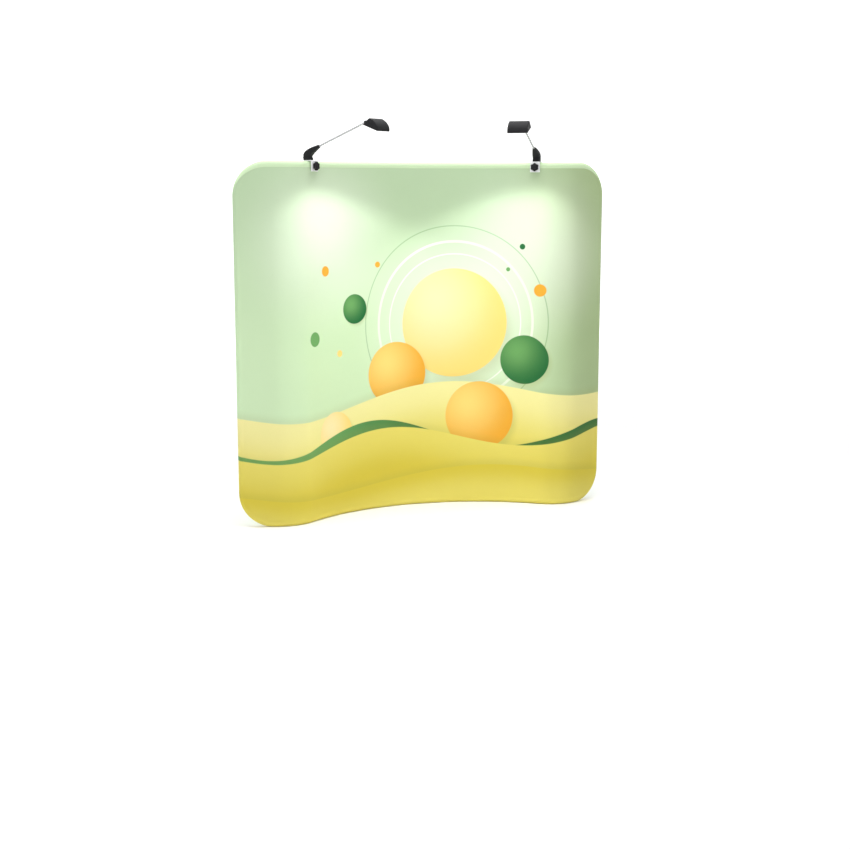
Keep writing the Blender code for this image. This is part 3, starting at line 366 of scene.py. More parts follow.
def edgeDistance(x, z):
    # distance in from the outline, as for a rectangle with round corners:
    # r - the length of (|x| - a, |z - middle| - b), both at least 0, where
    # either is positive, and otherwise r + the lesser shortfall
    r = plan["cornerRadius"]
    dx = np.abs(x) - straightHalf
    dz = np.abs(z - (bottomAxis + topAxis) / 2) - ((topAxis - bottomAxis) / 2 - r)
    outside = np.hypot(np.maximum(dx, 0.0), np.maximum(dz, 0.0))
    inside = np.minimum(np.maximum(dx, dz), 0.0)
    return np.maximum(r - outside - inside, 0.0)


def cornerFolds(x, z, away):
    # f sin(n a) about the corner's middle, times a bell over the distance from the
    # edge, and faded out at the edge, at the corner's middle and along the tubes
    r, half = plan["cornerRadius"], plan["height"] / 2
    fromX, fromZ = np.abs(x) - straightHalf, np.abs(z - half) - (half - r - cover["half"])
    bell = np.exp(-((away - cover["foldMiddle"]) / cover["foldSpread"]) ** 2)
    folds = cover["fold"] * np.sin(cover["foldCount"] * np.arctan2(fromZ, fromX)) * bell
    folds *= np.clip(np.minimum(fromX, fromZ) / cover["foldReach"] + 1, 0, 1)
    folds *= np.clip(np.hypot(fromX, fromZ) / cover["foldStart"], 0, 1)
    return folds * smooth(away, *cover["foldEdge"])


def stretched(x, z, front):
    # how far the stretch moves the cloth off its curve, towards the back: a half
    # wave in height, to the power 0.7, times (1 - q^2)^1.5 over the middle and a
    # half wave squared over each bend; a dip beside the tubes of
    # hollow sin^2(pi d / 2 reach); and the corners' folds. the back sheet lies on
    # the centre pole, where the middle's share and the dip are 0
    rise = np.sin(pi * np.clip((z - bottomAxis) / (topAxis - bottomAxis), 0, 1)) ** 0.7
    s = np.abs(x)
    middle = (1 - np.clip(s / middleEnd, 0, 1) ** 2) ** 1.5
    bend = np.sin(pi * np.clip((s - middleEnd) / (wingStart - middleEnd), 0, 1)) ** 2
    away = edgeDistance(x, z)
    dip = cover["hollow"] * np.sin(pi / 2 * np.clip(away / cover["hollowReach"], 0, 1)) ** 2
    if not front:
        free = np.clip((s - cover["poleHalf"]) / cover["poleReach"], 0, 1) ** 0.8
        middle, dip = middle * free, -dip * free
    return cover["pull"] * rise * (bend * cover["bendPull"] - middle) + dip + cornerFolds(x, z, away)


def roundTube(loopX, loopZ, out, turn, half):
    # points round the tube: back = -h cos a, and h sin a out along the normal
    x, z = loopX + out[:, 0] * half * np.sin(turn), loopZ + out[:, 1] * half * np.sin(turn)
    return x, -half * np.cos(turn), np.maximum(z, cover["lowest"])


def coverSheet(name, front):
    # the flat face as a grid of columns and rows, and round it a strip that
    # wraps the tube to the seam, where it gathers
    x, low, high = coverOutline()
    gridX = np.repeat(x[:, None], cover["rows"], axis=1)
    gridZ = low[:, None] + (high - low)[:, None] * rowShares()
    side = -1.0 if front else 1.0
    back = side * standing(gridX) + stretched(gridX, gridZ, front) + chordShift(gridX)
    loopX, loopZ, out = coverLoop()
    half = standing(loopX)
    start, end = (0.0, cover["seamAngle"]) if front else (pi, cover["seamAngle"] + cover["seamGap"])
    turn = np.linspace(start, end, cover["turns"])[:, None]
    wrapped = half * np.abs(turn - start)
    nearSeam = np.clip((wrapped / wrapped.max() - 1) / cover["puckerShare"] + 1, 0, 1) ** 2
    gather = cover["pucker"] * np.sin(2 * pi * runLength(loopX, loopZ) / cover["puckerPitch"]) * nearSeam
    stripX, stripBack, stripZ = roundTube(loopX, loopZ, out, turn, half + gather)
    grids = [(onPlan(gridX, back, gridZ), False),
             (onPlan(stripX, stripBack + chordShift(stripX), stripZ), True)]
    flats = joined(gridX, gridZ), joined(loopX + out[:, 0] * wrapped, loopZ + out[:, 1] * wrapped)
    sheet = arrayMesh(name, grids, [flat / cover["mapSize"] + 0.5 for flat in flats], merge=5e-6)
    addModifier(sheet, "SOLIDIFY", thickness=cover["wall"], offset=-1.0)
    return sheet


coverFront = coverSheet("coverFront", True)
coverBack = coverSheet("coverBack", False)
print("cover sheets made:", len(coverFront.data.polygons) + len(coverBack.data.polygons), "faces")


# the seam's corded edge and its stitches

seam = {
    "steps": 1400,
    "radius": 0.0009,           # of the corded edge
    "sides": 8,
    "stitch": 0.0034,
    "pitch": 0.0046,
    "thread": 0.00028,
    "threadSides": 5,
    "bow": 0.00035,
    "sunk": 0.0003,
    "lift": 0.0001,             # of the stitches over the cord
    "below": 0.002,             # how far under the cloth their outward side is measured from
    "inside": (0.0, -0.3, plan["height"] / 2),    # a point that the cord goes round
}


def seamPath(count, lift):
    # even steps along the outline, on the seam's line round the tube
    loop = np.column_stack(coverLoop())
    loop = np.concatenate([loop, loop[:1]])
    run = runLength(loop[:, 0], loop[:, 1])
    even = np.linspace(0, run[-1], count, endpoint=False)
    x, z, nx, nz = [np.interp(even, run, column) for column in loop.T]
    turn = cover["seamAngle"] + cover["seamGap"] / 2
    px, pb, pz = roundTube(x, z, unit(joined(nx, nz)), turn, standing(x) + lift)
    return onPlan(px, pb + chordShift(px), pz), run[-1]


def stitchBars(name, middle, run, out):
    # a stitch is a short bar from -1 to 1 of half its length, bowed outwards by
    # b (1 - u^2), with five sides of radius t sqrt(1 - u^6), 0 at both ends
    middle, run, out = middle[:, None], run[:, None], out[:, None]
    steps = np.array([-1.0, -0.9, -0.4, 0.4, 0.9, 1.0])[:, None]
    lift = seam["bow"] * (1 - steps ** 2) - seam["sunk"]
    width = seam["thread"] * np.sqrt(1 - steps ** 6)
    centre = middle + run * seam["stitch"] / 2 * steps + out * lift
    stitches = rings(centre, np.cross(run, out), out, width[..., None], seam["threadSides"])
    return arrayMesh(name, [(grid, True) for grid in stitches], merge=1e-7)


def seamPieces():
    # the cord is a closed tube along the seam, and the stitches ride on it
    path, length = seamPath(seam["steps"], 0.0)
    ahead, behind = np.roll(path, -1, axis=0), np.roll(path, 1, axis=0)
    across = unit(np.cross(ahead - path, path - seam["inside"]))
    grid = rings(path, across, np.cross(across, unit(ahead - behind)), seam["radius"], seam["sides"])
    cord = arrayMesh("coverSeam", [(np.concatenate([grid, grid[:1]]), True)])

    count = int(length / seam["pitch"])
    dense, _ = seamPath(count * 4, seam["radius"] + seam["lift"])
    low, _ = seamPath(count * 4, -seam["below"])
    run = unit(dense[1::4] - np.roll(dense[3::4], 1, axis=0))
    return cord, stitchBars("seamStitches", dense[::4], run, unit(dense[::4] - low[::4]))


coverSeam, seamStitches = seamPieces()
print("seam made:", len(seamStitches.data.polygons), "stitch faces")


# zip: woven tape, two interlocked coils, end stops

zipParts = {
    "height": 0.062,
    "halfLength": 0.600,
    "tapeHeight": 0.026,
    "tapeFace": 0.017875,       # from the tube's axis, as the solid tape
    "tapeWall": 0.0006,
    "tapeSteps": 400,
    "coilEnd": 0.010,           # short of the tape's end
    "coilRise": 0.0009,         # coil's axis above the tape's face
    "coilMiddle": 0.00085,      # and to each side of the middle line
    "coilWidth": 0.00115,       # half its width and depth
    "coilDepth": 0.0006,
    "coilPitch": 0.0017,
    "coilSteps": 7,
    "wire": 0.00028,
    "stitchRow": 0.0105,        # from the middle line
    "stitchEnd": 0.003,
    "stop": (0.0020, 0.0012, 0.0029),    # half length, depth and height of an end stop
}


def zipPieces():
    # the tape is a thin closed strip; each coil is a helix beside the middle
    # line, (pitch a / 2 pi, w sin a, d cos a), carrying a thin wire
    half, wall, pitch = zipParts["halfLength"], zipParts["tapeWall"], zipParts["coilPitch"]
    s = np.linspace(-half, half, zipParts["tapeSteps"])
    face = zipParts["tapeFace"] + chordShift(s)
    z = zipParts["height"] + zipParts["tapeHeight"] / 2 * np.array([-1, -1, 1, 1])
    ring = onPlan(s[:, None], face[:, None] + np.array([0.0, wall, wall, 0.0]), z)
    tape = sharpened(arrayMesh("zipTape", barGrids(ring)))

    length = 2 * (half - zipParts["coilEnd"])
    turns = int(length / pitch)
    angle = np.linspace(0, 2 * pi * turns, turns * zipParts["coilSteps"])
    along = length * (angle / angle[-1] - 0.5)
    middle = zipParts["tapeFace"] + wall + zipParts["coilRise"]
    coils = []
    for side, name in ((-1, "zipCoilLow"), (1, "zipCoilHigh")):
        back = middle + chordShift(along) + zipParts["coilDepth"] * np.cos(angle)
        aside = zipParts["coilMiddle"] + zipParts["coilWidth"] * np.sin(angle)
        path = onPlan(along + side * pitch / 4, back, zipParts["height"] + side * aside)
        grid = tubeGrid(path, zipParts["wire"], 4, up=(1.0, 0.3, 0.2))
        start, end = [np.repeat(path[i][None, None, :], 4, axis=1) for i in (0, -1)]
        coils.append(arrayMesh(name, [(np.concatenate([start, grid, end]), True)], merge=1e-7))
    return tape, coils


def zipStitching():
    # a row of stitches along each edge of the tape, at even steps of the pitch
    half = zipParts["halfLength"] - zipParts["stitchEnd"]
    s, side = np.meshgrid(np.arange(-half, half, seam["pitch"]), [-1.0, 1.0])
    s, z = s.ravel(), zipParts["height"] + zipParts["stitchRow"] * side.ravel()
    back = zipParts["tapeFace"] + chordShift(s) + zipParts["tapeWall"]
    middle = onPlan(s, back, z)
    run = onPlan(s + 0.001, back, z) - onPlan(s - 0.001, back, z)
    return stitchBars("zipStitches", middle, unit(run), unit(onPlan(s, back + 0.001, z) - middle))


def zipStops():
    # a squared pebble at each end of the coils: (a sin u, b cos u cos v,
    # c cos u sin v), each sine and cosine to the power 0.4 with its sign kept
    u, v = np.linspace(-pi / 2, pi / 2, 13)[:, None], wholeTurn(24)[None, :]
    a, b, c = zipParts["stop"]
    girth = squared(np.maximum(np.cos(u), 0.0), 0.4)
    back = zipParts["tapeFace"] + zipParts["tapeWall"] + b + b * girth * squared(np.cos(v), 0.4)
    height = zipParts["height"] + c * girth * squared(np.sin(v), 0.4)
    end, along = zipParts["halfLength"] - zipParts["coilEnd"] + a, a * squared(np.sin(u), 0.4)
    stops = [(onPlan(side * end + along, back, height), True) for side in (-1, 1)]
    return arrayMesh("zipStops", stops, merge=1e-6)


zipTape, zipCoils = zipPieces()
zipStitches, zipEndStops = zipStitching(), zipStops()
print("zip made:", sum(len(coil.data.polygons) for coil in zipCoils), "coil faces")


# lamps: reach is out from the tube's axis to the front, rise is up from it

lampPlace = {
    "studSetback": 0.010,
    "elbowBase": 0.021675,
    "tip": (0.0545, 0.0835),    # reach and rise of the elbow's mouth
    "hinge": (0.315, 0.182),
    "tilt": radians(20.4),
}
tipPlace = np.array([-lampPlace["tip"][0], lampPlace["tip"][1]])
hingePlace = np.array([-lampPlace["hinge"][0], lampPlace["hinge"][1]])
joints = {joint["name"]: joint for joint in frame["joints"]}


def lampFrame(hand):
    # the clamp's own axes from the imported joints: x along the head's tilt axis,
    # z up, y to the back, and the origin below the swivel
    x, z = np.array(joints["lamp_head_tilt_" + hand]["axis"]), np.array([0.0, 0.0, 1.0])
    y = np.cross(z, x)
    swivel = np.array(joints["lamp_swivel_" + hand]["pos_m"])
    return np.array([x, y, z]), swivel - y * lampPlace["studSetback"] - z * lampPlace["elbowBase"]


def placed(points, hand):
    # points in the clamp's axes carried to the object's
    axes, origin = lampFrame(hand)
    return points @ axes + origin


def headPlaced(points, hand):
    # points (x, -s, h) of the head turned by its tilt about x, then moved to the hinge
    c, s = cos(lampPlace["tilt"]), sin(lampPlace["tilt"])
    turned = points @ np.array([[1, 0, 0], [0, c, s], [0, -s, c]])
    return placed(turned + np.array([0.0, *hingePlace]), hand)


def lampMesh(name, hand, grids, angle, place=placed):
    # one mesh of closed grids at the lamp's place, sharp above the angle
    grids = [(place(grid, hand), True) for grid in grids]
    return sharpened(arrayMesh(name + hand.capitalize(), grids), angle)


def bezier(start, bend, end, t):
    # a (1 - t)^2 + 2 b t (1 - t) + c t^2
    t = t[:, None]
    return start * (1 - t) ** 2 + bend * 2 * t * (1 - t) + end * t ** 2


def roundedPath(corners, radius, steps=7):
    # straight runs joined by arcs that leave each inner corner at its radius,
    # drawn as quadratic curves between the two leaving points
    corners = np.array(corners)[:, None, :]
    middle = corners[1:-1]
    before, after = radius * unit(corners[:-2] - middle), radius * unit(corners[2:] - middle)
    arcs = bezier(middle + before, middle, middle + after, np.linspace(0, 1, steps))
    return np.concatenate([corners[0], arcs.reshape(-1, 2), corners[-1]])


clamp = {
    "width": 0.048,
    "plate": 0.0035,
    "saddle": 0.017875,         # inner faces above and behind the tube's axis
    "front": -0.022875,
    "drop": 0.029,
    "bend": 0.003,
    "edge": 0.0007,
    "edgeAngle": 50,
}


def bracketShape(hand):
    # a flat bar bent to a U over the tube: its middle line with rounded bends,
    # half a plate to either side, and half its width each way across
    half, w, sharp = clamp["plate"] / 2, clamp["width"] / 2, clamp["edgeAngle"]
    rear, front, drop = clamp["saddle"] + half, clamp["front"] - half, clamp["drop"]
    line = roundedPath([(rear, -drop), (rear, rear), (front, rear), (front, -drop)], clamp["bend"] + half)
    side = besides(unit(np.gradient(line, axis=0))) * half
    corners = [(line + side, w), (line - side, w), (line - side, -w), (line + side, -w)]
    ring = np.stack([joined(x, *flat.T) for flat, x in corners], axis=1)
    bracket = sharpened(arrayMesh("clampBracket" + hand.capitalize(), barGrids(placed(ring, hand))), sharp)
    addModifier(bracket, "BEVEL", width=clamp["edge"], segments=3, limit_method="ANGLE",
                angle_limit=radians(sharp))
    return bracket


knob = {
    "screwDrop": 0.005,         # below the tube's axis
    "back": -0.027375,
    "radius": 0.0198,
    "depth": 0.012,
    "edge": 0.0024,
    "lobes": 6,
    "wave": 0.08,
    "lobeRun": (0.5, 0.95),     # where the lobes set in, as shares of the radius
    "steps": 120,
    # radius and place of each ring of the boss, then the face's shares of the
    # radius and heights
    "boss": ((0.0043, 0.0), (0.0089, 0.0), (0.0095, -0.0006), (0.0095, -0.0016), (0.0103, -0.002)),
    "face": ((0.80, 0.0), (0.74, -0.0002), (0.70, -0.0008), (0.56, -0.0011), (0.52, -0.0008),
             (0.50, 0.0002), (0.48, 0.0009), (0.44, 0.0012), (0.30, 0.0014), (0.15, 0.0015),
             (0.0, 0.0015)),
}


def knobShape(hand):
    # a star r = R (1 - w + w cos 6 a) whose depth profile rounds both edges
    # and dishes the face round a raised cap; the boss behind it is turned
    turn, rounded = wholeTurn(knob["steps"]), np.linspace(0, pi / 2, 7)
    big, depth, edge, (low, high) = knob["radius"], knob["depth"], knob["edge"], knob["lobeRun"]
    share, rise = np.array(knob["face"]).T
    boss, place = np.array(knob["boss"]).T[..., None]
    arc, rim = edge * np.sin(rounded), edge * (1 - np.cos(rounded))
    radius = np.concatenate([np.linspace(boss[2, 0], big - edge, 4), big - edge + arc,
                             big - edge + arc[::-1], share * big])[:, None]
    along = np.concatenate([np.zeros(4), rim, depth - rim[::-1], depth + rise])[:, None]
    lobed = np.clip((radius / big - low) / (high - low), 0, 1)
    star = radius * (1 + knob["wave"] * (np.cos(knob["lobes"] * turn) - 1) * lobed)
    grids = [joined(r * np.sin(turn), knob["back"] + y, r * np.cos(turn) - knob["screwDrop"])
             for r, y in ((star, place[-1] - along), (boss, place))]
    grids[0][0] = grids[1][-1]
    return lampMesh("clampKnob", hand, grids, 50)


elbow = {
    "back": 0.030,
    "front": 0.010,
    "width": 0.037,
    "tipWidth": 0.014,
    "tipDepth": 0.0125,
    "knee": (0.030, 0.048),
    "crown": (0.021, 0.072),
    "throat": (-0.004, 0.037),
    "square": 0.5,              # the power that squares its sections
    "sides": 48,
    "footRows": 12,
    "rows": 40,
    "narrowFrom": 0.004,        # behind the tube's axis
    "narrowPower": 1.2,
    "footShares": (0.0, 0.55, 0.86, 0.97),    # how both ends close in
    "tipSteps": (0.0004, 0.0009, 0.0012, 0.0012),
}


def elbowShape(hand):
    # sections between a back line and a front line drawn as quadratic curves;
    # each is a squared ring, cos and sin to the power 0.5, and the ends close
    # in over a small radius
    base, t = lampPlace["elbowBase"], np.linspace(0, 1, elbow["rows"])
    foot = np.linspace(0, 1, elbow["footRows"])[:-1, None]
    knee, crown, throat = [np.array(elbow[key]) for key in ("knee", "crown", "throat")]
    run = unit(hingePlace - tipPlace)
    across = besides(run) * elbow["tipDepth"] / 2
    rear = np.concatenate([np.array([elbow["back"], base]) * (1 - foot) + knee * foot,
                           bezier(knee, crown, tipPlace + across, t)])
    front = np.concatenate([np.array([-elbow["front"], base]) * (1 - foot) + throat * foot,
                            bezier(throat, throat + across, tipPlace - across, t)])
    start = elbow["narrowFrom"]
    reached = np.clip((start - (rear + front)[:, 0] / 2) / (start - tipPlace[0]), 0, 1)
    narrow = reached ** elbow["narrowPower"]
    width = elbow["width"] * (1 - narrow) + elbow["tipWidth"] * narrow
    sections = np.column_stack([width / 2, (rear + front) / 2, (rear - front) / 2])
    sections = np.concatenate([sections[:1].repeat(4, 0), sections, sections[-1:].repeat(4, 0)])
    sections[-4:, 1:3] += run * np.array(elbow["tipSteps"])[:, None]
    close = np.array(elbow["footShares"])
    scale = np.concatenate([close, np.ones(len(rear)), close[::-1]])[:, None]
    turn = wholeTurn(elbow["sides"])
    c, s = squared(np.cos(turn), elbow["square"]), squared(np.sin(turn), elbow["square"])
    width, centreY, centreZ, depthY, depthZ = sections.T[..., None]
    grid = joined(width * scale * s, centreY + depthY * scale * c, centreZ + depthZ * scale * c)
    return lampMesh("lampElbow", hand, [grid], 60)


arm = {
    "radius": 0.0042,
    "sides": 24,
    "socket": 0.017,            # how far it goes into the elbow
    "knuckleWidth": 0.010,
    "knuckleSides": 36,
    # radius of each ring of the knuckle and how far in from its end
    "knuckleEdge": ((0.0024, 0.0), (0.0054, 0.0), (0.0060, 0.0003), (0.0062, 0.0009)),
}


def armShape(hand):
    # a round bar from the elbow's mouth to the hinge, and across its end a
    # turned knuckle with softened edges
    tip, hinge = np.array([0.0, *tipPlace]), np.array([0.0, *hingePlace])
    length = np.linalg.norm(hinge - tip)
    t = np.concatenate([np.linspace(-arm["socket"], 0.0, 3), np.linspace(0.02, length, 12)])
    path = tip + unit(hinge - tip) * t[:, None]
    bar = tubeGrid(path, arm["radius"], arm["sides"], up=(1.0, 0.0, 0.0))
    turn, half = wholeTurn(arm["knuckleSides"]), arm["knuckleWidth"] / 2
    radius, step = np.array(arm["knuckleEdge"]).T
    radius = np.concatenate([radius, radius[::-1]])[:, None]
    x = np.concatenate([step - half, half - step[::-1]])[:, None]
    knuckle = joined(x, hinge[1] + radius * np.cos(turn), hinge[2] + radius * np.sin(turn))
    return lampMesh("lampArm", hand, [bar, knuckle], 50)


head = {
    "width": 0.094,
    "length": 0.0825,
    "height": 0.0385,
    "brow": 0.023,
    "browRun": 0.012,
    "browBend": 0.006,
    "crownStart": pi / 2 - 0.16,    # the crown's first angle, down to 0 at the lip
    "crownSteps": 26,
    "setback": 0.0185,
    "drop": 0.0067,
    "wall": 0.002,
    "edge": 0.0028,
}


def headShape(hand):
    # the side outline, foot to brow to lip, is carried across the width; near
    # each end it draws in by e (1 - cos a) while x runs out by e sin a, and
    # the cheek falls from it to the light's face
    brow, depth = head["setback"] + head["brow"], head["length"] - head["brow"]
    face, e, w = -head["drop"], head["edge"], head["width"] / 2
    top = face + head["height"]
    corner = roundedPath([(head["setback"], face), (brow, top), (brow + head["browRun"], top)],
                         head["browBend"], 6)[:-1]
    turn, a = np.linspace(head["crownStart"], 0, head["crownSteps"]), np.linspace(0, pi / 2, 6)
    crown = joined(brow + depth * np.cos(turn), face + head["height"] * np.sin(turn))
    rear = np.linspace(0, 1, 5)[:-1, None] * (corner[1] - corner[0]) + corner[0]
    line = np.concatenate([rear, corner[1:], crown])
    x = np.concatenate([np.linspace(0, w - e, 5)[:-1], w - e + e * np.sin(a), np.full(6, w)])
    draw = np.concatenate([np.zeros(4), e * (1 - np.cos(a)), np.full(6, e)])
    fall = np.concatenate([np.zeros(10), np.linspace(0, 1, 7)[1:]])
    rows = line + besides(unit(np.gradient(line, axis=0))) * draw[:, None, None]
    high = np.maximum(rows[..., 1] - face, 0.0) * (1 - fall[:, None])
    cheek = joined(x[:, None], -rows[..., 0], face + high)
    shell = np.concatenate([(cheek * np.array([-1.0, 1.0, 1.0]))[::-1], cheek[1:]])
    made = arrayMesh("headShell" + hand.capitalize(), [(headPlaced(shell, hand), False)], merge=4e-5)
    addModifier(sharpened(made, 38), "SOLIDIFY", thickness=head["wall"], offset=-1.0, use_even_offset=True)
    return made


lugs = {
    "radius": 0.0065,
    "rise": radians(18.5),      # of the upper edge, into the shell
    "root": (0.0345, 0.0200),   # how far back the upper and the lower edge run
    "gap": 0.0003,
    "steps": (0.0, 0.0, 0.0004, 0.0032, 0.0040, 0.0040),    # across the width
    "shares": (0.0, 0.93, 1.0, 1.0, 0.90, 0.0),
}


def lugShape(hand):
    # two rounded lugs from the head's rear face round the hinge pin: an outline
    # of a half circle and a root that rises into the shell, its upper edge on the
    # circle's tangent, carried across its width with a soft edge
    r, rise, (top, bottom) = lugs["radius"], lugs["rise"], lugs["root"]
    a = np.linspace(-pi / 2, pi / 2 - rise, 15)
    root = np.array([[top, r * cos(rise) + (top + r * sin(rise)) * tan(rise)], [bottom, -r]])
    outline = np.concatenate([joined(-r * np.cos(a), r * np.sin(a)), root])
    middle = outline.mean(axis=0)
    rows = middle + (outline - middle) * np.array(lugs["shares"])[:, None, None]
    x = arm["knuckleWidth"] / 2 + lugs["gap"] + np.array(lugs["steps"])[:, None]
    grids = [joined(side * x, -rows[..., 0], rows[..., 1]) for side in (-1, 1)]
    return lampMesh("headLugs", hand, grids, 45, headPlaced)


lampPieces = {}
for hand in ("left", "right"):
    lampPieces[hand] = {
        "bracket": bracketShape(hand), "knob": knobShape(hand), "elbow": elbowShape(hand),
        "arm": armShape(hand), "head": headShape(hand), "lugs": lugShape(hand),
    }
lampFaces = [len(piece.data.polygons) for pieces in lampPieces.values() for piece in pieces.values()]
print("lamps made:", sum(lampFaces), "faces")


# print on the cover, with painted light and shade laid over it

inks = {
    "groundHigh": colour(184, 208, 170),
    "groundLow": colour(204, 229, 187),
    # painted shade: a darker green towards the right wing, which faces away from the light
    "paintedSideShade": colour(168, 190, 143),
    # painted highlight: a paler green along the top, where the cloth turns over the tube towards the light above
    "paintedTopLight": colour(212, 236, 194),
    "hillFar": colour(240, 232, 160),
    "hillNear": colour(226, 212, 104),
    "hillDeep": colour(212, 194, 68),
    "amber": colour(236, 168, 52),
    "amberLight": colour(248, 214, 120),
    "cream": colour(248, 232, 178),
    "deepGreen": colour(30, 104, 54),
    "midGreen": colour(104, 160, 92),
    "white": colour(244, 249, 236),
    "shade": colour(150, 150, 70),
}
motifs = {                      # (x, z) on the flat sheet in metres
    "margin": 0.010,            # of the painted top highlight, below the top tube's axis
    "edge": 0.0015,             # how soft a printed edge is
    # painted pools of lamp light: a soft white disc below each lamp, near the top
    "paintedLampPools": ((-0.52, 1.31), (0.58, 1.23)),
    "sun": (0.20, 0.90),
    "rings": ((0.335, 0.006, "white", 0.9), (0.395, 0.012, "white", 0.7), (0.47, 0.005, "midGreen", 0.5)),
    "balls": (((0.20, 0.90), 0.265, "cream", "amberLight"),
              ((-0.10, 0.66), 0.155, "amberLight", "amber"),
              ((-0.335, 0.985), 0.070, "midGreen", "deepGreen"),
              ((0.555, 0.72), 0.120, "midGreen", "deepGreen")),
    "dots": (((-0.52, 1.17), 0.024, "amber"), ((-0.60, 0.86), 0.034, "midGreen"),
             ((-0.20, 1.19), 0.014, "amber"), ((0.63, 1.06), 0.030, "amber"),
             ((0.54, 1.27), 0.014, "deepGreen"), ((-0.43, 0.78), 0.016, "amberLight"),
             ((0.47, 1.16), 0.010, "midGreen")),
    "lowBalls": (((0.33, 0.44), 0.170, "amberLight", "amber"),
                 ((-0.46, 0.40), 0.105, "cream", "amberLight")),
    # level, swing, length, phase and tilt of each wave line
    "farLine": (0.555, 0.050, 1.55, 0.24, 0.04),
    "ribbonHigh": (0.365, 0.070, 1.25, 0.52, -0.02),
    "ribbonLow": (0.345, 0.052, 1.32, 0.46, 0.00),
    "nearLine": (0.150, 0.035, 1.75, 0.05, 0.02),
}


def clothPlace(tree):
    # the sheet's own flat coordinates in metres, from its map
    size = cover["mapSize"]
    place = addNode(tree, "UVMap", uv_map="cloth").outputs[0]
    metres = addNode(tree, "Mapping", {"Vector": place, "Location": (-size / 2, -size / 2, 0.0),
                                       "Scale": (size, size, size)}).outputs[0]
    parts = addNode(tree, "SeparateXYZ", {0: metres})
    return metres, parts.outputs[0], parts.outputs[1]


def distance(tree, metres, centre):
    gap = addNode(tree, "VectorMath", {0: metres, 1: (*centre, 0.0)}, operation="DISTANCE")
    return gap.outputs["Value"]


def discMask(tree, metres, centre, radius, soft=motifs["edge"]):
    # 1 inside the circle, falling to 0 over the soft edge
    return ramp(tree, distance(tree, metres, centre), radius + soft, radius - soft)


def ringMask(tree, metres, centre, radius, width):
    # 1 within half the width of the circle's line
    off = calc(tree, "ABSOLUTE", calc(tree, "SUBTRACT", distance(tree, metres, centre), radius))
    return ramp(tree, off, width / 2 + 0.001, width / 2 - 0.001)


def ball(tree, ground, metres, centre, radius, inner, outer):
    # a disc whose tint runs from a light spot up and to the left to its rim,
    # over a soft shade below and to the right
    below = (centre[0] + radius * 0.10, centre[1] - radius * 0.14)
    above = (centre[0] - radius * 0.34, centre[1] + radius * 0.36)
    shade = discMask(tree, metres, below, radius * 0.98, radius * 0.16)
    ground = mixed(tree, ground, inks["shade"], shade, 0.30)
    light = discMask(tree, metres, above, radius * 0.72, radius * 0.72)
    tint = mixed(tree, inks[outer], inks[inner], light)
    return mixed(tree, ground, tint, discMask(tree, metres, centre, radius))


def waveLine(tree, x, level, swing, length, phase, tilt):
    # level + tilt x + swing sin(2 pi (x + phase) / length)
    angle = calc(tree, "MULTIPLY_ADD", x, 2 * pi / length, 2 * pi * phase / length)
    wave = calc(tree, "MULTIPLY", calc(tree, "SINE", angle), swing)
    return calc(tree, "ADD", calc(tree, "MULTIPLY_ADD", x, tilt, level), wave)


def hill(tree, ground, x, z, line, near, far, fade):
    # below its wave line: far tint at the crest, near tint a fade's depth under it,
    # over a soft shade just above the crest
    depth = calc(tree, "SUBTRACT", waveLine(tree, x, *motifs[line]), z)
    ground = mixed(tree, ground, inks["shade"], ramp(tree, depth, -0.05, 0.0), 0.16)
    tint = mixed(tree, inks[far], inks[near], ramp(tree, depth, 0.0, fade))
    return mixed(tree, ground, tint, ramp(tree, depth, -motifs["edge"], motifs["edge"]))


def paintedTopLightMask(tree, x, z):
    # a painted highlight, paler where the cloth turns over the top tube towards the light above: outside the
    # cover's own rim moved down by the margin, so that it is widest on top and runs out where a corner ends; the
    # rim lies at hypot(max(|x| - a, 0), z - b) = r + a quarter turn
    rim = plan["cornerRadius"] + cover["half"] * pi / 2
    dx = calc(tree, "MAXIMUM", calc(tree, "SUBTRACT", calc(tree, "ABSOLUTE", x), straightHalf), 0.0)
    dz = calc(tree, "MAXIMUM", calc(tree, "SUBTRACT", z, topAxis - rim - motifs["margin"]), 0.0)
    away = calc(tree, "SQRT", calc(tree, "MULTIPLY_ADD", dx, dx, calc(tree, "MULTIPLY", dz, dz)))
    return ramp(tree, away, rim - motifs["edge"], rim + motifs["edge"])


def inked(tree, shader, ground, metres):
    # the print over the knit: two crossed fine waves as bump, slow variation in the
    # roughness, and a few hundredths in the tone from the threads and a fine grain
    ribs, courses = waves(tree, metres, 210.0, "X", 0.4), waves(tree, metres, 260.0, "Y", 0.4)
    knit = calc(tree, "MULTIPLY", ribs, courses)
    setBump(tree, shader, knit, 0.14, 0.0004)
    setRoughness(tree, shader, noise(tree, metres, 6.0, 3.0), 0.72, 0.86)
    grain = noise(tree, metres, 700.0, 2.0)
    tone = calc(tree, "MULTIPLY_ADD", knit, 0.05, 0.955)
    setTone(tree, shader, ground, calc(tree, "MULTIPLY_ADD", grain, 0.05, tone))


clothShine = {"Sheen Weight": 0.12, "Sheen Roughness": 0.4, "Specular IOR Level": 0.25}


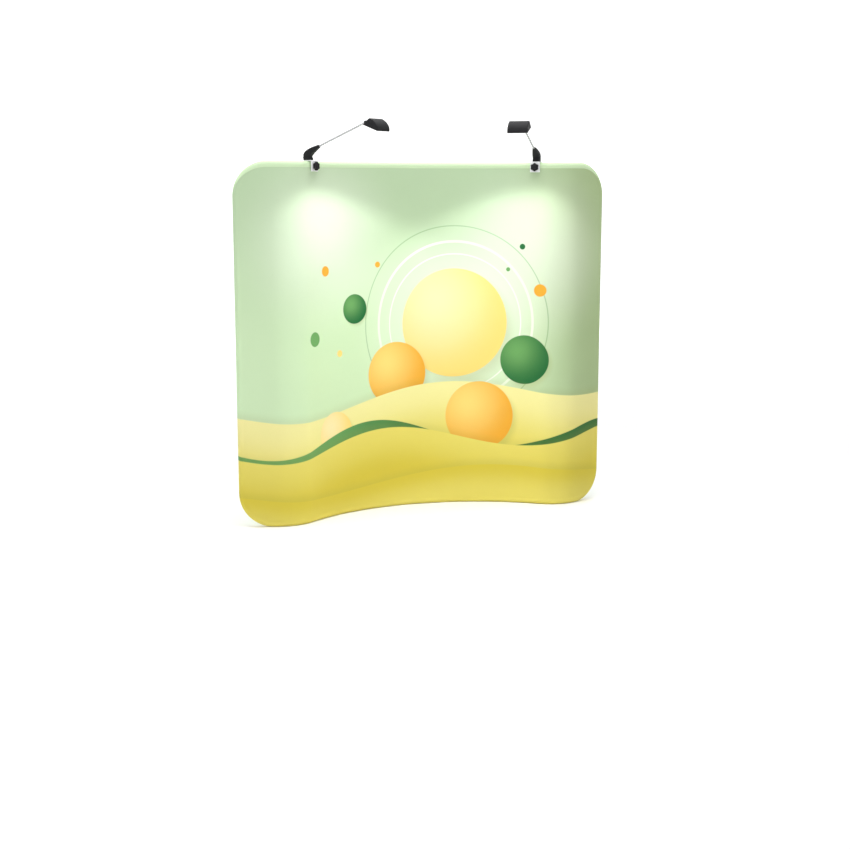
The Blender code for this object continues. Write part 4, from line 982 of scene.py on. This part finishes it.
def printedClothAndPaintedLight():
    # the print, laid on from the farthest layer to the nearest, with painted light and shade among its layers:
    # painted shade on the right wing, painted pools of lamp light near the top and a painted highlight along the
    # top edge
    made, tree, shader = newMaterial("printedClothAndPaintedLight", inks["groundHigh"], 0.8, **clothShine)
    metres, x, z = clothPlace(tree)
    ground = mixed(tree, inks["groundLow"], inks["groundHigh"], ramp(tree, z, 0.7, 1.6))
    # painted shade, darker towards the right wing, which faces away from the light
    ground = mixed(tree, ground, inks["paintedSideShade"], ramp(tree, x, 0.35, 0.95))
    # painted pools of lamp light near the top, below the lamps
    for paintedPool in motifs["paintedLampPools"]:
        ground = mixed(tree, ground, inks["white"], discMask(tree, metres, paintedPool, 0.26, 0.25), 0.5)

    # thin rings round a pale sun, with small discs round about
    sun = motifs["sun"]
    ground = mixed(tree, ground, inks["white"], discMask(tree, metres, sun, 0.36, 0.22), 0.45)
    for radius, width, tint, share in motifs["rings"]:
        ground = mixed(tree, ground, inks[tint], ringMask(tree, metres, sun, radius, width), share)
    for disc in motifs["balls"]:
        ground = ball(tree, ground, metres, *disc)
    for centre, radius, tint in motifs["dots"]:
        ground = mixed(tree, ground, inks[tint], discMask(tree, metres, centre, radius))

    # hills, far to near, each under its own wave line
    ground = hill(tree, ground, x, z, "farLine", "hillNear", "hillFar", 0.30)
    for disc in motifs["lowBalls"]:
        ground = ball(tree, ground, metres, *disc)
    high = calc(tree, "SUBTRACT", waveLine(tree, x, *motifs["ribbonHigh"]), z)
    ribbon = mixed(tree, inks["midGreen"], inks["deepGreen"], ramp(tree, x, -0.7, 0.3))
    ground = mixed(tree, ground, ribbon, ramp(tree, high, -motifs["edge"], motifs["edge"]))
    ground = hill(tree, ground, x, z, "ribbonLow", "hillDeep", "hillNear", 0.22)
    ground = hill(tree, ground, x, z, "nearLine", "hillNear", "hillDeep", 0.14)
    # painted shade, darker still towards the right wing
    ground = mixed(tree, ground, inks["shade"], ramp(tree, x, 0.45, 1.0), 0.08)
    # painted highlight along the top, where the cloth turns over the tube
    ground = mixed(tree, ground, inks["paintedTopLight"], paintedTopLightMask(tree, x, z), 0.8)
    inked(tree, shader, ground, metres)
    return made


def plainCloth():
    # the back panel: the ground's pale green alone, over the same knit
    made, tree, shader = newMaterial("plainCloth", inks["groundLow"], 0.8, **clothShine)
    metres, x, z = clothPlace(tree)
    ground = mixed(tree, inks["groundLow"], inks["groundHigh"], ramp(tree, z, 0.2, 1.6))
    inked(tree, shader, ground, metres)
    return made


# finishes

def metalFinish(name, base, roughness, scale, spread=0.08, metal=1.0):
    # drawn metal: noise drawn out along Z varies the roughness and a faint bump
    made, tree, shader = newMaterial(name, base, roughness, metal)
    stretch = {"Vector": objectPlace(tree), "Scale": (scale, scale, scale / 30)}
    streaks = noise(tree, addNode(tree, "Mapping", stretch).outputs[0], 1.0, 4.0)
    setRoughness(tree, shader, streaks, roughness - spread, roughness + spread)
    setBump(tree, shader, streaks, 0.05)
    return made


def grainFinish(name, base, roughness, scale=1800.0, strength=0.15, **sockets):
    # moulded or coated: fine grain as bump, slow noise in the roughness and a
    # few hundredths of the tone
    made, tree, shader = newMaterial(name, base, roughness, **sockets)
    place = objectPlace(tree)
    setBump(tree, shader, noise(tree, place, scale, 2.0), strength)
    slow = noise(tree, place, 45.0, 3.0)
    setRoughness(tree, shader, slow, roughness - 0.05, roughness + 0.07)
    setTone(tree, shader, base[:3], between(tree, slow, 0.93, 1.07))
    return made


def wovenFinish(name, base):
    # twill tape: diagonal bands across fine rows, as bump and as tone
    made, tree, shader = newMaterial(name, base, 0.8, **{"Specular IOR Level": 0.3})
    place = objectPlace(tree)
    twill, rows = waves(tree, place, 420.0, "DIAGONAL", 0.6), waves(tree, place, 520.0, "Z")
    weave = calc(tree, "MULTIPLY", twill, rows)
    setBump(tree, shader, weave, 0.4, 0.0003)
    setTone(tree, shader, base[:3], calc(tree, "MULTIPLY_ADD", weave, 0.12, 0.92))
    return made


def lensFinish(name):
    # a frosted cover over rows of light spots: a cell pattern lifts the glow
    made, tree, shader = newMaterial(name, colour(168, 172, 178), 0.5,
                                     **{"Emission Color": colour(255, 252, 242)})
    place = objectPlace(tree)
    cells = addNode(tree, "TexVoronoi", {"Vector": place, "Scale": 95.0, "Randomness": 0.15})
    spots = ramp(tree, cells.outputs["Distance"], 0.55, 0.10)
    tree.links.new(calc(tree, "MULTIPLY_ADD", spots, 0.8, 0.12), shader.inputs["Emission Strength"])
    setBump(tree, shader, noise(tree, place, 1500.0, 1.0), 0.3)
    return made


finishes = {
    "aluminium_tube": metalFinish("tubeAluminium", colour(206, 208, 210), 0.36, 900.0),
    "black_nylon": grainFinish("teeNylon", colour(42, 42, 44), 0.5),
    "spring_steel": metalFinish("buttonSteel", colour(196, 197, 200), 0.3, 1500.0),
    "printed_fabric": printedClothAndPaintedLight(),
    "zip_tape_white": wovenFinish("zipTapeWeave", colour(226, 230, 222)),
    "zip_metal": metalFinish("zipPlated", colour(190, 190, 192), 0.3, 2000.0),
    "white_powder_coat": grainFinish("clampPowderCoat", colour(238, 239, 240), 0.42, 2200.0, 0.12),
    "black_moulding": grainFinish("lampMoulding", colour(36, 36, 38), 0.58,
                                  **{"Specular IOR Level": 0.14}),
    "plated_steel": metalFinish("armPlating", colour(186, 187, 189), 0.55, 1400.0, 0.06, metal=0.25),
    "grey_rubber": grainFinish("padRubber", colour(66, 66, 68), 0.8, 900.0, 0.4),
    "frosted_lens": lensFinish("lensFrost"),
    "led_tray_white": grainFinish("trayWhite", colour(236, 238, 240), 0.35),
}
slotOf = {part["node"]: part["material_slot"] for part in frame["record"]["subparts"]}


def finished(obj, material):
    obj.data.materials.clear()
    obj.data.materials.append(material)


def dress(obj, body, slot, made=None, stands=()):
    # the piece's finish, from its slot unless another is given, its body, and hides the nodes that it stands for
    finished(obj, made or finishes[slot])
    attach(obj, body)
    if stands:
        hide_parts(*stands)


for node, obj in frame["nodes"].items():
    finished(obj, finishes[slotOf[node]])

threads = {
    "seamCord": colour(196, 216, 184),
    "seamThread": colour(228, 238, 216),
    "zipThread": colour(214, 232, 202),
    "zipNylon": colour(232, 236, 228),
}
dress(coverFront, "display", "printed_fabric", stands=["fabric_cover"])
dress(coverBack, "display", "printed_fabric", plainCloth())
dress(coverSeam, "display", "printed_fabric",
      grainFinish("seamCord", threads["seamCord"], 0.8, 2400.0, 0.4))
for obj, thread in ((seamStitches, "seamThread"), (zipStitches, "zipThread")):
    dress(obj, "display", "printed_fabric", grainFinish(thread, threads[thread], 0.7, 3000.0, 0.3))
dress(zipTape, "display", "zip_tape_white", stands=["zip_tape"])
dress(zipEndStops, "display", "zip_metal")
nylon = grainFinish("zipNylon", threads["zipNylon"], 0.4, 1600.0, 0.1)
for coil in zipCoils:
    dress(coil, "display", "zip_tape_white", nylon)
for hand, pieces in lampPieces.items():
    dress(pieces["bracket"], "display", "white_powder_coat", stands=["clamp_bracket_" + hand])
    dress(pieces["knob"], "clamp_knob_" + hand, "black_moulding", stands=["clamp_knob_" + hand])
    dress(pieces["elbow"], "lamp_arm_" + hand, "black_moulding", stands=["lamp_elbow_" + hand])
    dress(pieces["arm"], "lamp_arm_" + hand, "plated_steel", stands=["lamp_arm_" + hand])
    dress(pieces["head"], "lamp_head_" + hand, "black_moulding", stands=["head_housing_" + hand])
    dress(pieces["lugs"], "lamp_head_" + hand, "black_moulding")
# stage, lights and camera

stageSizes = {
    "reach": 30.0,
    "back": 9.0,
    "rise": 14.0,
    "bend": 3.0,
    "tone": colour(246, 246, 246),
    "glow": 0.66,
    "glowRun": (1.5, 8.0),      # where it sets in and where it is full, from the middle
}


def sweep():
    # a floor that bends up into a wall: a straight run, a quarter circle, a rise;
    # both glow faintly away from the middle, so that they stay as pale there
    reach, back, bend = stageSizes["reach"], stageSizes["back"], stageSizes["bend"]
    turn = np.linspace(0, pi / 2, 24)
    y = np.concatenate([[-reach], back - bend + bend * np.sin(turn), [back]])
    z = np.concatenate([[0.0], bend - bend * np.cos(turn), [stageSizes["rise"]]])
    x = np.array([-reach, reach])
    floor = arrayMesh("stageSweep", [(joined(x, y[:, None], z[:, None]), False)])
    made, tree, shader = newMaterial("stagePaper", stageSizes["tone"], 0.9,
                                     **{"Specular IOR Level": 0.1, "Emission Color": (1.0, 1.0, 1.0, 1.0)})
    away = addNode(tree, "VectorMath", {0: objectPlace(tree)}, operation="LENGTH").outputs["Value"]
    glow = calc(tree, "MULTIPLY", ramp(tree, away, *stageSizes["glowRun"]), stageSizes["glow"])
    tree.links.new(glow, shader.inputs["Emission Strength"])
    finished(floor, made)


def addLight(name, kind, place, target, power, **settings):
    light = bpy.data.lights.new(name, kind)
    light.energy = power
    for key, value in settings.items():
        setattr(light, key, value)
    obj = addObject(name, light)
    obj.location = place
    obj.rotation_euler = (Vector(target) - Vector(place)).to_track_quat("-Z", "Y").to_euler()
    return light


studio = {
    "world": 0.34,
    "backdrop": 1.0,            # what the camera sees of the world, as a paper roll would look
    # place, target, power and size of each soft box
    "boxes": (("overheadBox", (0.1, -0.3, 4.6), (0.0, -0.1, 0.0), 180.0, 4.0),
              ("keyBox", (-3.6, -4.6, 3.6), (0.0, 0.0, 0.9), 72.0, 3.0)),
    "lampWatts": 16.0,
    "lampCone": radians(112),
    "lampAim": radians(-88),    # below level, back towards the cover
    "lampTint": (0.95, 0.99, 0.94),
    "lampSpot": (0.0, -0.058, -0.0147),    # in the head, just below its face
}


def lightWorld():
    # the camera sees a white backdrop, and the pieces a softer light
    world = bpy.data.worlds.new("studio")
    bpy.context.scene.world = world
    world.use_nodes = True
    tree = world.node_tree
    ground = tree.nodes["Background"]
    ground.inputs[0].default_value = (1.0, 1.0, 1.0, 1.0)
    seen = addNode(tree, "LightPath").outputs["Is Camera Ray"]
    shown = calc(tree, "MULTIPLY_ADD", seen, studio["backdrop"] - studio["world"], studio["world"])
    tree.links.new(shown, ground.inputs[1])


def lampLight(hand):
    # a beam from under the head, straight down but for a touch towards the cover,
    # that thins more slowly than with the distance's square: 0.6 linear + 0.4
    spot = headPlaced(np.array(studio["lampSpot"]), hand)
    axes, _ = lampFrame(hand)
    aim = spot + cos(studio["lampAim"]) * axes[1] + np.array([0.0, 0.0, sin(studio["lampAim"])])
    light = addLight("lampLight" + hand.capitalize(), "SPOT", spot, aim, studio["lampWatts"],
                     spot_size=studio["lampCone"], spot_blend=0.35, shadow_soft_size=0.03,
                     color=studio["lampTint"])
    light.use_nodes = True
    beam = light.node_tree
    falloff = addNode(beam, "LightFalloff", {"Strength": 1.0, "Smooth": 0.1})
    slower = calc(beam, "MULTIPLY_ADD", falloff.outputs["Linear"], 0.6, 0.4)
    beam.links.new(slower, beam.nodes["Emission"].inputs["Strength"])


sweep()
lightWorld()
for name, place, target, power, size in studio["boxes"]:
    addLight(name, "AREA", place, target, power, shape="SQUARE", size=size)
for hand in ("left", "right"):
    lampLight(hand)

view = {
    "place": (-2.2333, -6.4144, 1.5537),
    "down": radians(9.6638),
    "aside": radians(19.6722),
    "lens": 59.16,
    "sensor": 36.0,
}
camera = addObject("camera", bpy.data.cameras.new("camera"))
camera.data.sensor_width = view["sensor"]
camera.data.lens = view["lens"]
camera.location = view["place"]
camera.rotation_euler = (pi / 2 - view["down"], 0.0, -view["aside"])
bpy.context.scene.camera = camera
bpy.context.scene.view_settings.view_transform = "Standard"

print("stage, lights and camera set")
